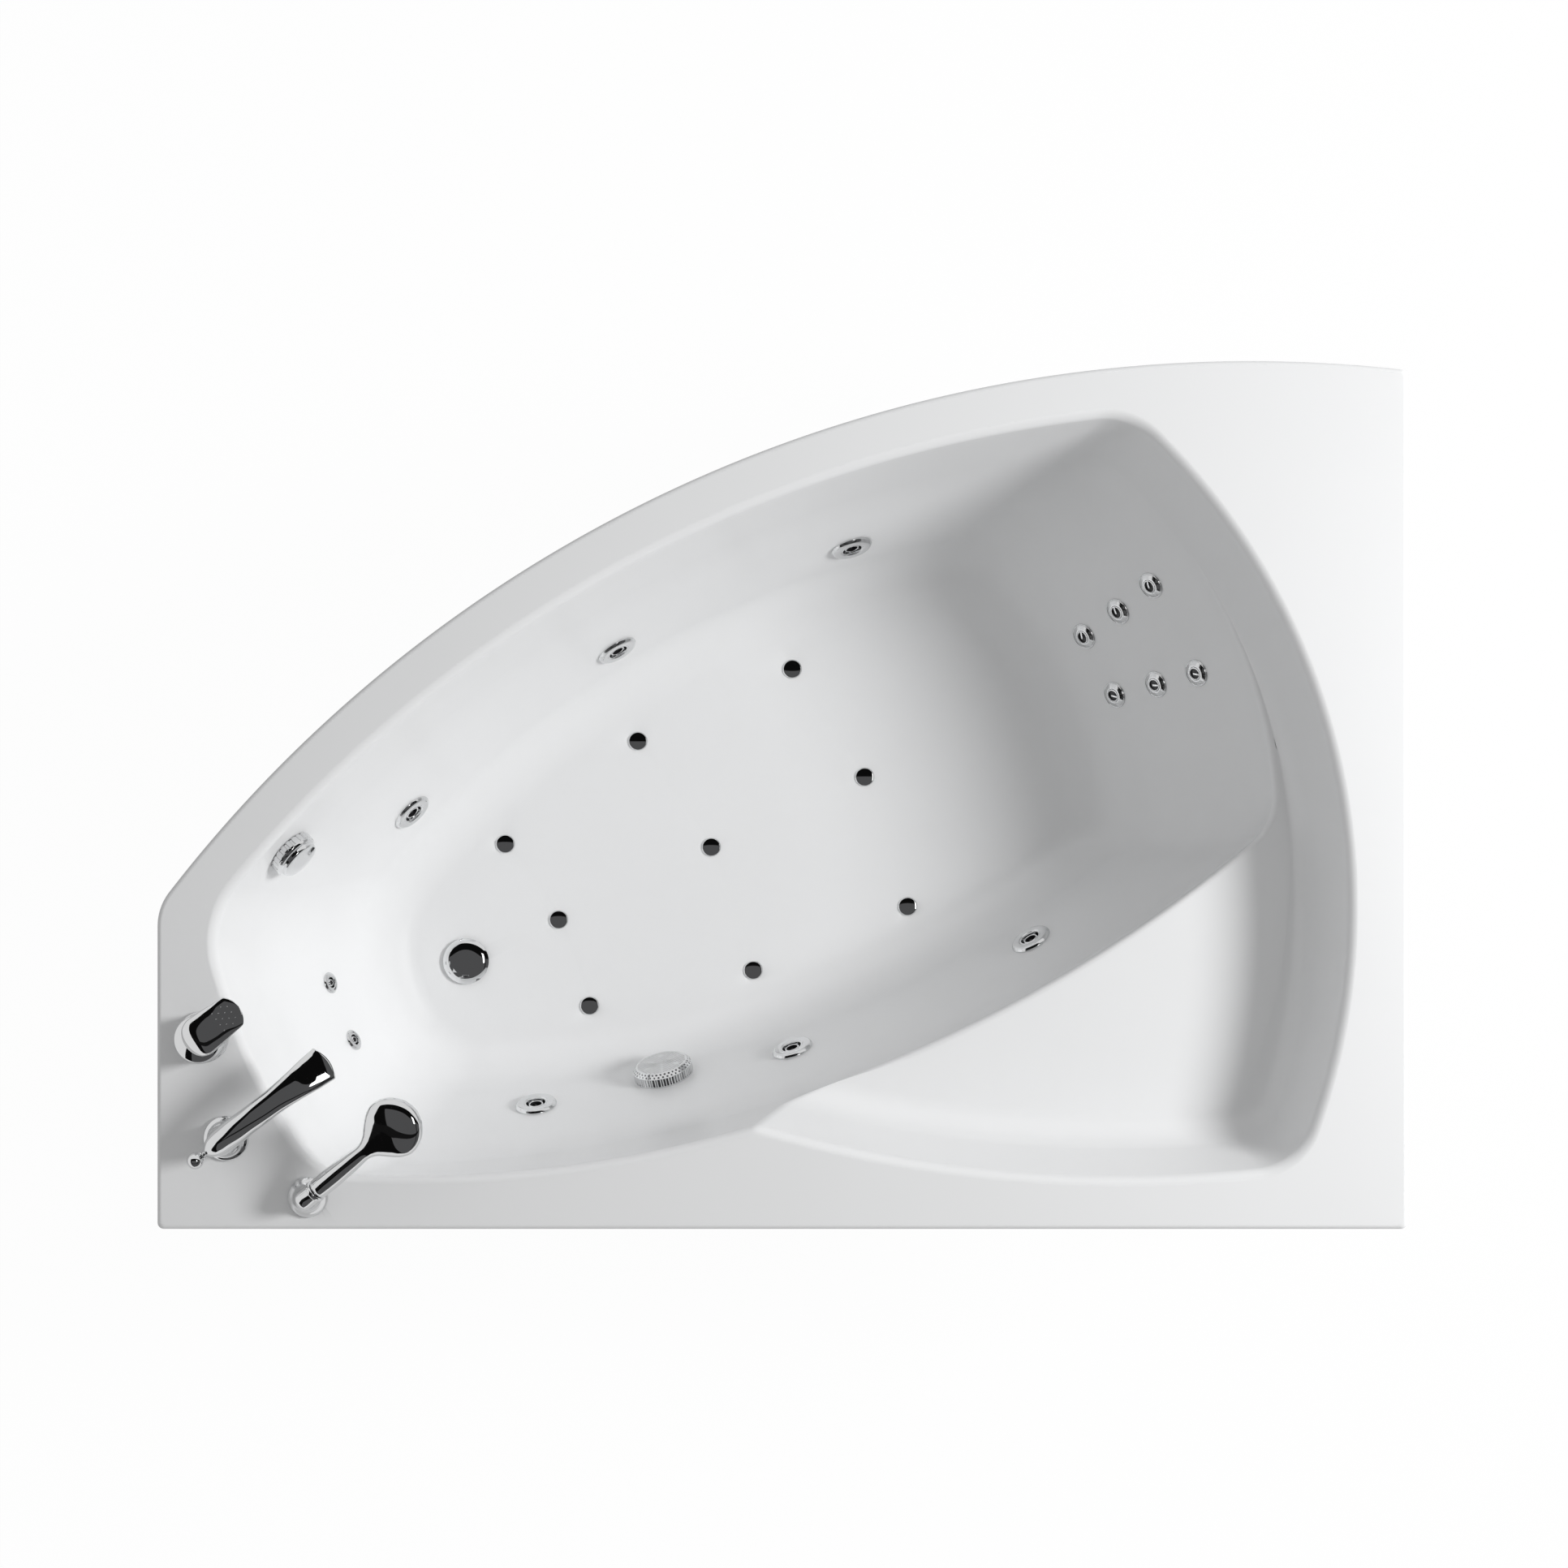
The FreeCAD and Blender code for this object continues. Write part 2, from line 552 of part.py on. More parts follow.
def spread(label, prototype, placements):
    """One node of identical solids, each a link to the same piece."""
    links = []
    for index, placement in enumerate(placements, 1):
        link = doc.addObject("App::Link", "%s_%d_link" % (label, index))
        link.LinkedObject = prototype
        link.Placement = placement
        links.append(link)
    group = doc.addObject("Part::Compound", label)
    group.Links = links
    return keep(group, label)


def rod(start, end, radius):
    return Part.makeCylinder(radius, (end - start).Length, start, end - start)


def fused(pieces):
    return pieces[0].multiFuse(pieces[1:]).removeSplitter()


def channel(start, end, side, wall):
    """Outer bar and inner space of a channel that is open below."""
    span = end - start
    placement = frame_at(start, UP, span)
    outer = Part.makeBox(span.Length + side, side, side, Vector(-side / 2, -side / 2, -side))
    inner = Part.makeBox(
        span.Length + side - 2 * wall, side - 2 * wall, side - wall + S.overrun,
        Vector(wall - side / 2, wall - side / 2, -side - S.overrun))
    for shape in (outer, inner):
        shape.Placement = placement
    return outer, inner


# Tub shell
def deck_plate(inset, top, thick):
    """Plan of the tub: three straight edges and the bowed front."""
    radius = S.front_bow_radius - inset
    centre = Vector(front_apex_share * half_length, half_width - S.front_bow_radius, top)
    left, right, back = inset - half_length, half_length - inset, inset - half_width
    right_y = centre.y + math.sqrt(radius ** 2 - (right - centre.x) ** 2)
    left_y = centre.y + math.sqrt(radius ** 2 - (left - centre.x) ** 2)
    points = [Vector(left, left_y, top), Vector(left, back, top), Vector(right, back, top), Vector(right, right_y, top)]
    edges = [Part.LineSegment(points[i], points[i + 1]).toShape() for i in range(3)]
    crest = Vector(centre.x, centre.y + radius, top)
    edges.append(Part.Arc(points[3], crest, points[0]).toShape())
    plate = Part.Face(Part.Wire(edges)).extrude(UP * -thick)
    for edge in list(plate.Edges):
        first, last = edge.Vertexes[0].Point, edge.Vertexes[-1].Point
        if abs(first.z - last.z) < thick / 2:
            continue
        near_front = first.x < 0 and first.y > left_y - S.corner_round
        wanted = (S.front_corner_round if near_front else S.corner_round) - inset
        if wanted > 0:
            corner = Vector(first.x, first.y, top)
            match = [e for e in plate.Edges if all(abs(v.X - corner.x) + abs(v.Y - corner.y) < 1e-3 for v in e.Vertexes)]
            plate = plate.makeFillet(wanted, match)
    return plate


def cylinder_at(placement, radius, front, back):
    axis = placement.Rotation.multVec(UP)
    return Part.makeCylinder(radius, front + back, placement.Base - axis * back, axis)


body = deck_plate(0.0, S.tub_height, S.lip_drop)
body = body.cut(deck_plate(S.shell_wall, deck_bottom, S.lip_drop))
shell = body.fuse(hollow(S.shell_wall)).cut(basin)
reach = 2 * S.overrun
holes = [cylinder_at(frame, S.side_hole_radius, reach, reach) for frame in side_frames]
holes += [cylinder_at(frame, S.back_hole_radius, S.overrun, S.overrun) for frame in back_frames]
holes += [cylinder_at(frame, S.foot_hole_radius, S.overrun, S.overrun) for frame in foot_frames]
holes += [cylinder_at(frame, S.air_hole_radius, S.overrun, S.overrun) for frame in air_frames]
holes.append(cylinder_at(waste_frame, S.waste_hole_radius, S.overrun, S.overrun))
holes.append(cylinder_at(suction_frame, S.suction_hole_radius, reach, reach))
holes.append(cylinder_at(overflow_frame, S.overflow_hole_radius, reach, reach))
holes += [cylinder_at(frame, S.deck_hole_radius, S.overrun, S.overrun) for frame in (mixer_frame, spout_frame, holder_frame)]
for hole in holes:
    shell = shell.cut(hole)
solid_node("tub_shell", shell)

# Side jets: a face ring, a barrel behind it and a ball nozzle that tilts
side_ring = turned("side_jet_ring", [
    ("side_mouth_radius", "seat_gap"), ("side_ring_radius", "seat_gap"), ("side_ring_radius", "side_ring_edge"),
    ("side_ring_crest", "side_ring_height"), ("side_mouth_radius", "side_ring_edge"),
])
side_barrel = turned("side_jet_barrel", [
    ("side_socket_radius", "seat_gap"), ("side_socket_radius", "-side_socket_depth"), ("0", "-side_socket_depth"),
    ("0", "-side_barrel_length"), ("side_barrel_radius", "-side_barrel_length"), ("side_barrel_radius", "seat_gap"),
])
side_ball = turned("side_jet_ball", [
    ("side_nozzle_bore", "side_ball_half"), ("side_ball_radius", "side_ball_half"),
    ("side_ball_radius", "-side_ball_half"), ("side_nozzle_bore", "-side_ball_half"),
])
spread("side_jet_rings", side_ring, side_frames)
spread("side_jet_barrels", side_barrel, side_frames)
for index, frame in enumerate(side_frames, 1):
    spread("side_jet_nozzle_%d" % index, side_ball, [shifted(frame, z=-S.side_ball_drop)])
# Back jets: a fixed ring and barrel, and a spinning head set off its shaft's centre
back_ring = turned("back_jet_ring", [
    ("back_mouth_radius", "seat_gap"), ("back_ring_radius", "seat_gap"), ("back_ring_radius", "back_ring_edge"),
    ("back_mouth_radius", "back_ring_height"),
])
back_barrel = turned("back_jet_barrel", [
    ("back_socket_radius", "seat_gap"), ("back_socket_radius", "-back_socket_depth"),
    ("rotor_shaft_radius + rotor_gap", "-back_socket_depth"), ("rotor_shaft_radius + rotor_gap", "-rotor_bore_end"),
    ("0", "-rotor_bore_end"), ("0", "-back_barrel_length"), ("back_barrel_radius", "-back_barrel_length"),
    ("back_barrel_radius", "seat_gap"),
])
spread("back_jet_rings", back_ring, back_frames)
spread("back_jet_barrels", back_barrel, back_frames)
spin_head = cell(
    "rotor_head", "Cylinder", frame_at(Vector(S.rotor_offset, 0, -S.rotor_back), UP),
    Radius="rotor_head_radius", Height="rotor_front + rotor_back")
spin_shaft = cell(
    "rotor_shaft", "Cylinder", frame_at(Vector(0, 0, -S.rotor_shaft_end), UP),
    Radius="rotor_shaft_radius", Height="rotor_shaft_end")
rotor = joined("Fuse", "rotor", spin_head, spin_shaft)
for index, frame in enumerate(back_frames, 1):
    spread("back_jet_rotor_%d" % index, rotor, [frame])

# Foot jets: small ball nozzles in the left wall
foot_ring = turned("foot_jet_ring", [
    ("foot_mouth_radius", "foot_seat_gap"), ("foot_ring_radius", "foot_seat_gap"), ("foot_ring_radius", "foot_ring_edge"),
    ("foot_mouth_radius", "foot_ring_height"),
])
foot_barrel = turned("foot_jet_barrel", [
    ("foot_socket_radius", "foot_seat_gap"), ("foot_socket_radius", "-foot_socket_depth"), ("0", "-foot_socket_depth"),
    ("0", "-foot_barrel_length"), ("foot_barrel_radius", "-foot_barrel_length"), ("foot_barrel_radius", "foot_seat_gap"),
])
foot_ball = turned("foot_jet_ball", [
    ("foot_nozzle_bore", "foot_ball_half"), ("foot_ball_radius", "foot_ball_half"),
    ("foot_ball_radius", "-foot_ball_half"), ("foot_nozzle_bore", "-foot_ball_half"),
])
spread("foot_jet_rings", foot_ring, foot_frames)
spread("foot_jet_barrels", foot_barrel, foot_frames)
for index, frame in enumerate(foot_frames, 1):
    spread("foot_jet_nozzle_%d" % index, foot_ball, [shifted(frame, z=-S.foot_ball_drop)])

# Air jets: domed caps on the floor with necks down to their pipes
air_jet = turned("air_jet", [
    ("0", "0 - air_neck_length"), ("air_neck_radius", "0 - air_neck_length"), ("air_neck_radius", "0"),
    ("air_cap_radius", "0"), ("air_cap_radius", "air_cap_height"), ("0", "air_cap_height"),
])
spread("air_jets", air_jet, air_frames)


def tube(points, radius, collar):
    """Straight runs through the points, with a collar over each bend."""
    pieces = [rod(start, end, radius) for start, end in zip(points, points[1:])]
    for before, point, after in zip(points, points[1:], points[2:]):
        along = (point - before).normalize() + (after - point).normalize()
        along.normalize()
        pieces.append(rod(point - along * collar, point + along * collar, collar))
    return pieces


air_level = floor_top - S.air_neck_length - S.air_tee_height / 2
header_x = S.header_run
header_pieces = []
for line in air_jet_share:
    points = [place(share, air_level) for share in line]
    points.insert(0, Vector(header_x, points[0].y, air_level))
    header_pieces += [rod(start, end, S.air_pipe_radius) for start, end in zip(points, points[1:])]
    lift = UP * (S.air_tee_height / 2)
    header_pieces += [rod(point - lift, point + lift, S.air_tee_radius) for point in points[1:]]
blower_base = place(blower_share, S.rail_top - S.rail_side)
blower_level = blower_base.z + S.blower_height / 2
first_y = place(air_jet_share[0][0], 0).y
header_box = Part.makeBox(
    S.header_side, first_y - blower_base.y + 2 * S.header_side, S.header_side,
    Vector(header_x, blower_base.y - S.header_side, air_level - S.header_side / 2))
duct_end = blower_base.x - S.blower_radius - S.blower_port_length
duct_start = header_x + S.header_side / 2
duct = tube([
    Vector(duct_start, blower_base.y, air_level),
    Vector(duct_start + (duct_end - duct_start) / 3, blower_base.y, air_level),
    Vector(duct_start + (duct_end - duct_start) * 2 / 3, blower_base.y, blower_level),
    Vector(duct_end, blower_base.y, blower_level),
], S.duct_radius, S.duct_collar_radius)
solid_node("air_pipes", fused([header_box] + header_pieces + duct))

# Suction fitting with its grille
suction_body = turned("suction_body", [
    ("suction_bore_radius", "seat_gap + suction_flange_thick"),
    ("suction_bore_radius", "suction_floor - suction_barrel_length"), ("0", "suction_floor - suction_barrel_length"),
    ("0", "0 - suction_barrel_length"), ("suction_barrel_radius", "0 - suction_barrel_length"),
    ("suction_barrel_radius", "seat_gap"), ("suction_flange_radius", "seat_gap"),
    ("suction_flange_radius", "seat_gap + suction_flange_thick"),
])
spread("suction_housing", suction_body, [suction_frame])
grille_cup = turned("grille_cup", [
    ("grille_radius - grille_wall", "grille_seat_gap"), ("grille_radius", "grille_seat_gap"),
    ("grille_radius", "grille_height - grille_chamfer"), ("grille_radius - grille_chamfer", "grille_height"),
    ("0", "grille_height"), ("0", "grille_height - grille_wall"),
    ("grille_radius - grille_wall", "grille_height - grille_chamfer - grille_wall"),
])
doc.recompute()
slot = Part.makeBox(
    S.overrun, S.grille_slot_width, S.grille_slot_height,
    Vector(S.grille_radius - S.grille_wall - S.overrun / 2, -S.grille_slot_width / 2, S.grille_wall))
slots = []
for index in range(int(S.grille_slots)):
    piece = slot.copy()
    piece.rotate(Vector(), UP, 360 * index / S.grille_slots)
    slots.append(piece)
solid_node("suction_grille", grille_cup.Shape.cut(Part.makeCompound(slots)), suction_frame)

# Waste: flanged body with a guide for the plug's stem, plug, nut and trap
waste_shell = turned("waste_shell", [
    ("waste_throat_radius", "waste_flange_thick"), ("waste_flange_radius", "waste_flange_thick"),
    ("waste_flange_radius", "0"), ("waste_barrel_radius", "0"), ("waste_barrel_radius", "0 - waste_barrel_length"),
    ("waste_throat_radius", "0 - waste_barrel_length"),
])
doc.recompute()
bore = S.plug_stem_radius + S.plug_guide_gap
guide = Part.makeCylinder(S.guide_radius, S.guide_length, Vector(0, 0, -S.guide_drop))
for index in range(3):
    rib = Part.makeBox(
        (S.waste_throat_radius + S.waste_barrel_radius) / 2, S.guide_rib, S.guide_length,
        Vector(0, -S.guide_rib / 2, -S.guide_drop))
    rib.rotate(Vector(), UP, 120 * index)
    guide = guide.fuse(rib)
guide = guide.cut(Part.makeCylinder(bore, S.guide_length, Vector(0, 0, -S.guide_drop)))
solid_node("waste_body", waste_shell.Shape.fuse(guide), waste_frame)
waste_nut = joined(
    "Cut", "waste_nut_ring",
    cell("waste_nut_hex", "Prism", FreeCAD.Placement(), Circumradius="waste_nut_radius", Height="waste_nut_thick"),
    cell("waste_nut_bore", "Cylinder", FreeCAD.Placement(),
         Radius="waste_barrel_radius + running_gap", Height="waste_nut_thick"))
waste_gasket = joined(
    "Cut", "waste_gasket_ring",
    cell("waste_gasket_disc", "Cylinder", FreeCAD.Placement(), Radius="waste_flange_radius", Height="gasket_thick"),
    cell("waste_gasket_bore", "Cylinder", FreeCAD.Placement(),
         Radius="waste_barrel_radius + running_gap", Height="gasket_thick"))
spread("waste_gasket", waste_gasket, [shifted(waste_frame, z=-S.shell_wall - S.gasket_thick)])
spread("waste_nut", waste_nut, [shifted(waste_frame, z=-S.shell_wall - S.gasket_thick - S.waste_nut_thick)])
plug = turned("plug", [
    ("0", "waste_flange_thick + running_gap + plug_edge + plug_crown"),
    ("plug_radius", "waste_flange_thick + running_gap + plug_edge"),
    ("plug_radius", "waste_flange_thick + running_gap"), ("plug_stem_radius", "waste_flange_thick + running_gap"),
    ("plug_stem_radius", "0 - plug_stem_length"), ("0", "0 - plug_stem_length"),
])
spread("waste_plug", plug, [waste_frame])
trap_top = floor_top - S.waste_barrel_length
trap_centre = Vector(waste_frame.Base.x, waste_frame.Base.y, S.trap_bottom)
trap_height = trap_top - S.trap_bottom
outlet_start = Vector(trap_centre.x, trap_centre.y, S.outlet_level)
outlet_end = outlet_start - Vector(0, S.trap_radius + S.outlet_length, 0)
trap = Part.makeCylinder(S.trap_radius, trap_height, trap_centre).fuse(rod(outlet_start, outlet_end, S.outlet_radius))
collar_end = outlet_start - Vector(0, S.trap_radius + S.outlet_collar_length, 0)
trap = trap.fuse(rod(outlet_start, collar_end, S.outlet_collar_radius))
trap = trap.cut(Part.makeCylinder(
    S.trap_radius - S.trap_wall, trap_height - 2 * S.trap_wall, trap_centre + UP * S.trap_wall))
trap = trap.cut(Part.makeCylinder(S.waste_throat_radius, S.overrun, Vector(trap_centre.x, trap_centre.y, trap_top - S.overrun / 2)))
trap = trap.cut(rod(outlet_start, outlet_end, S.outlet_bore))
solid_node("trap", trap)

# Overflow: body in the front wall, turning knob, pipe and plug cable
overflow_body = turned("overflow_body_turned", [
    ("overflow_barrel_radius", "seat_gap"), ("overflow_barrel_radius", "0 - overflow_cup_length"),
    ("knob_shaft_radius + knob_shaft_gap", "0 - overflow_cup_length"),
    ("knob_shaft_radius + knob_shaft_gap", "seat_gap"),
])
spread("overflow_body", overflow_body, [overflow_frame])
knob = turned("knob", [
    ("0", "knob_depth"), ("knob_face_radius", "knob_depth"), ("knob_radius", "knob_depth - knob_edge"),
    ("knob_radius", "seat_gap + running_gap"), ("knob_shaft_radius", "seat_gap + running_gap"),
    ("knob_shaft_radius", "0 - overflow_cup_length + running_gap"), ("0", "0 - overflow_cup_length + running_gap"),
])
spread("overflow_knob", knob, [overflow_frame])
back_of_overflow = overflow_frame.multVec(Vector(0, 0, -S.overflow_cup_length))
outward = overflow_frame.Rotation.multVec(UP) * -1
elbow = back_of_overflow + outward * S.overflow_elbow
trap_side = Vector(waste_frame.Base.x, waste_frame.Base.y, S.overflow_low_level)
corner = Vector(elbow.x + S.overflow_shift, elbow.y - S.overflow_shift, S.overflow_low_level)
toward = (corner - trap_side).normalize()
solid_node("overflow_pipe", fused(tube([
    back_of_overflow, elbow, Vector(elbow.x, elbow.y, floor_top + S.basin_depth / 3), corner,
    trap_side + toward * S.trap_radius,
], S.overflow_pipe_radius, S.overflow_collar_radius)))

def swept_form(plan_wire, side_wire, width, height):
    """Solid whose plan and side outlines are both given."""
    upward = Part.Face(plan_wire).extrude(UP * height)
    side_face = Part.Face(side_wire)
    side_face.translate(Vector(0, -width, 0))
    return upward.common(side_face.extrude(Vector(0, 2 * width, 0)))


def line(start, end):
    return Part.LineSegment(start, end).toShape()


def bow(start, middle, end):
    return Part.Arc(start, middle, end).toShape()


# Deck taps
deck_nut = joined(
    "Cut", "deck_nut",
    cell("deck_nut_hex", "Prism", FreeCAD.Placement(), Circumradius="deck_nut_radius", Height="deck_nut_thick"),
    cell("deck_nut_bore", "Cylinder", FreeCAD.Placement(), Radius="tail_radius + running_gap", Height="deck_nut_thick"))
deck_frames = [mixer_frame, spout_frame, holder_frame]
spread("deck_nuts", deck_nut, [shifted(frame, z=-S.shell_wall - S.deck_nut_thick) for frame in deck_frames])
mixer_base = turned("mixer_base", [
    ("0", "0 - tail_drop"), ("tail_radius", "0 - tail_drop"), ("tail_radius", "0"), ("mixer_radius", "0"),
    ("mixer_radius", "mixer_collar"), ("mixer_body_radius", "mixer_collar"), ("mixer_body_radius", "mixer_body_height"),
    ("hub_shaft_radius + hub_shaft_gap", "mixer_body_height"),
    ("hub_shaft_radius + hub_shaft_gap", "mixer_body_height - hub_shaft_depth - running_gap"),
    ("0", "mixer_body_height - hub_shaft_depth - running_gap"),
])
spread("mixer_body", mixer_base, [mixer_frame])
tap_turn = Vector(math.cos(math.radians(TAP_ANGLE)), math.sin(math.radians(TAP_ANGLE)), 0)
mixer_top = frame_at(mixer_frame.Base, UP, tap_turn)
hub_base = S.mixer_body_height + S.running_gap
hub = Part.makeCylinder(S.hub_radius, S.hub_height, Vector(0, 0, hub_base))
hub = hub.fuse(Part.makeCylinder(S.hub_shaft_radius, S.hub_shaft_depth + S.hub_height / 2, Vector(0, 0, hub_base - S.hub_shaft_depth)))
hub_top = hub_base + S.hub_height
ear = Part.makeBox(
    S.hub_ear_width, S.hub_ear_width, S.hub_ear_height + S.hub_height / 2,
    Vector(-S.hub_ear_width / 2, -S.hub_ear_width / 2, hub_base + S.hub_height / 2))
pivot = hub_top + S.hub_ear_height - S.lever_pin_radius - S.ear_cover
pin = rod(Vector(0, -S.lever_pin_half, pivot), Vector(0, S.lever_pin_half, pivot), S.lever_pin_radius)
solid_node("mixer_hub", hub.fuse(ear).fuse(pin), mixer_top)
plan = [
    Vector(-S.lever_heel, -S.lever_root_width / 2, 0), Vector(S.lever_reach - S.lever_round, -S.lever_tip_width / 2, 0),
    Vector(S.lever_reach, 0, 0),
    Vector(S.lever_reach - S.lever_round, S.lever_tip_width / 2, 0), Vector(-S.lever_heel, S.lever_root_width / 2, 0),
]
plan_wire = Part.Wire([
    Part.LineSegment(plan[0], plan[1]).toShape(), Part.Arc(plan[1], plan[2], plan[3]).toShape(),
    Part.LineSegment(plan[3], plan[4]).toShape(), Part.LineSegment(plan[4], plan[0]).toShape(),
])
low = hub_top + S.lever_lift
side_points = [
    Vector(-S.lever_heel, 0, low), Vector(S.lever_heel, 0, low), Vector(S.lever_reach, 0, low + S.lever_rise),
    Vector(S.lever_reach, 0, low + S.lever_rise + S.lever_tip_height),
    Vector(S.lever_heel, 0, low + S.lever_root_height), Vector(-S.lever_heel, 0, low + S.lever_root_height - S.lever_tip_height / 2),
]
side_wire = Part.makePolygon(side_points + side_points[:1])
lever = swept_form(plan_wire, side_wire, S.lever_root_width, S.tub_height)
slot_half = S.hub_ear_width / 2 + S.lever_pin_gap
lever = lever.cut(Part.makeBox(2 * slot_half + 2 * S.lever_slot_play, 2 * slot_half, S.lever_slot_height,
                               Vector(-slot_half - S.lever_slot_play, -slot_half, low - S.seat_gap)))
lever = lever.cut(rod(Vector(0, -S.lever_root_width, pivot), Vector(0, S.lever_root_width, pivot), S.lever_pin_radius + S.hub_shaft_gap))
solid_node("mixer_lever", lever, mixer_top)
valve_frame = shifted(mixer_frame, z=-S.tail_drop - S.valve_height)
valve = Part.makeCylinder(S.valve_radius, S.valve_height)
for side in (-1, 1):
    stub = Part.makeCylinder(S.inlet_radius, S.inlet_length, Vector(0, side * S.inlet_offset, -S.inlet_length))
    valve = valve.fuse(stub)
solid_node("mixer_valve", valve, valve_frame)

spout_turn = frame_at(spout_frame.Base, UP, tap_turn)
heel, reach_x, waist_x = -S.spout_heel, S.spout_reach, S.spout_reach * spout_waist_share
tip_x = reach_x - S.spout_mouth_round
half_root, half_waist, half_mouth = S.spout_root_width / 2, S.spout_waist_width / 2, S.spout_mouth_width / 2
spout_plan = Part.Wire([
    bow(Vector(waist_x, half_waist, 0), Vector(0, half_root, 0), Vector(heel, 0, 0)),
    bow(Vector(heel, 0, 0), Vector(0, -half_root, 0), Vector(waist_x, -half_waist, 0)),
    line(Vector(waist_x, -half_waist, 0), Vector(tip_x, -half_mouth, 0)),
    bow(Vector(tip_x, -half_mouth, 0), Vector(reach_x, 0, 0), Vector(tip_x, half_mouth, 0)),
    line(Vector(tip_x, half_mouth, 0), Vector(waist_x, half_waist, 0)),
])
heel_low = S.diverter_height - S.spout_heel_height / 2
heel_high = S.diverter_height + S.spout_heel_height / 2
waist_low = S.spout_top - S.spout_waist_height
mouth_low = S.spout_top - S.spout_mouth_height
back_x, front_x = heel - S.overrun, reach_x + S.overrun
spout_side = Part.Wire([
    line(Vector(back_x, 0, heel_low), Vector(back_x, 0, heel_high)),
    line(Vector(back_x, 0, heel_high), Vector(heel, 0, heel_high)),
    bow(Vector(heel, 0, heel_high), Vector(waist_x / 2, 0, S.spout_top - S.spout_slot_height), Vector(reach_x, 0, S.spout_top)),
    line(Vector(reach_x, 0, S.spout_top), Vector(front_x, 0, S.spout_top)),
    line(Vector(front_x, 0, S.spout_top), Vector(front_x, 0, mouth_low)),
    line(Vector(front_x, 0, mouth_low), Vector(reach_x, 0, mouth_low)),
    bow(Vector(reach_x, 0, mouth_low), Vector(waist_x, 0, waist_low), Vector(0, 0, S.diverter_height - S.spout_root_height / 2)),
    line(Vector(0, 0, S.diverter_height - S.spout_root_height / 2), Vector(heel, 0, heel_low)),
    line(Vector(heel, 0, heel_low), Vector(back_x, 0, heel_low)),
])
blade = swept_form(spout_plan, spout_side, S.spout_mouth_width, S.tub_height)
spout = blade.fuse(Part.makeCylinder(S.spout_neck_radius, S.diverter_height))
spout = spout.fuse(Part.makeCylinder(S.spout_base_radius, S.spout_collar))
spout = spout.fuse(Part.makeCylinder(S.tail_radius, S.tail_drop, Vector(0, 0, -S.tail_drop)))
spout = spout.cut(Part.makeBox(
    S.spout_slot_depth + S.overrun, S.spout_slot_width, S.spout_slot_height,
    Vector(S.spout_reach - S.spout_slot_depth, -S.spout_slot_width / 2, S.spout_top - S.spout_mouth_height / 2 - S.spout_slot_height / 2)))
spout = spout.cut(rod(
    Vector(-S.spout_heel - S.overrun, 0, S.diverter_height), Vector(S.diverter_sleeve - S.spout_heel, 0, S.diverter_height),
    S.diverter_rod_radius + S.diverter_gap))
solid_node("spout", spout, spout_turn)
diverter = turned("diverter_turned", [
    ("0", "diverter_reach + diverter_ball_radius"), ("diverter_face_radius", "diverter_reach + diverter_ball_radius"),
    ("diverter_ball_radius", "diverter_reach"), ("diverter_face_radius", "diverter_reach - diverter_ball_radius"),
    ("diverter_rod_radius", "diverter_reach - diverter_ball_radius"),
    ("diverter_rod_radius", "spout_heel - diverter_sleeve + seat_gap"), ("0", "spout_heel - diverter_sleeve + seat_gap"),
])
rod_start = spout_turn.multVec(Vector(0, 0, S.diverter_height))
spread("diverter_knob", diverter, [frame_at(rod_start, tap_turn * -1, UP)])
pipe_level = S.tub_height - S.tail_drop - S.valve_height / 2
valve_centre = Vector(mixer_frame.Base.x, mixer_frame.Base.y, pipe_level)
below_spout = Vector(spout_frame.Base.x, spout_frame.Base.y, pipe_level)
direct = (below_spout - valve_centre).normalize()
solid_node("tap_pipe", fused(tube([
    valve_centre + direct * S.valve_radius, below_spout, Vector(below_spout.x, below_spout.y, S.tub_height - S.tail_drop),
], S.tap_pipe_radius, S.tap_collar_radius)))

# Hand shower in its holder
shower_turn, rise = math.radians(SHOWER_ANGLE), math.radians(SHOWER_RISE)
shower_axis = Vector(math.cos(shower_turn) * math.cos(rise), math.sin(shower_turn) * math.cos(rise), math.sin(rise))
socket_base = holder_frame.Base + UP * S.holder_height
mouth = socket_base + shower_axis * S.holder_mouth
shower_frame = FreeCAD.Placement(mouth, FreeCAD.Rotation(shower_axis, Vector(), UP, "XZY"))
holder_cone = Part.makeCone(S.holder_radius, S.holder_neck_radius, S.holder_height - S.holder_edge, Vector(0, 0, S.holder_edge))
holder = Part.makeCylinder(S.holder_radius, S.holder_edge).fuse(holder_cone)
holder = holder.fuse(Part.makeCylinder(S.tail_radius, S.tail_drop, Vector(0, 0, -S.tail_drop)))
local_axis = shower_axis
holder = holder.fuse(rod(
    UP * S.holder_height - local_axis * S.holder_neck_radius, UP * S.holder_height + local_axis * S.holder_mouth, S.holder_neck_radius))
holder = holder.cut(rod(
    UP * S.holder_height + local_axis * (S.holder_mouth - S.handle_plug_length - S.seat_gap),
    UP * S.holder_height + local_axis * (S.holder_mouth + S.overrun), S.handle_plug_radius + S.running_gap))
solid_node("shower_holder", holder, holder_frame)


def ring_at(x, radius):
    return Part.Wire(Part.Circle(Vector(x, 0, 0), Vector(1, 0, 0), radius).toShape())


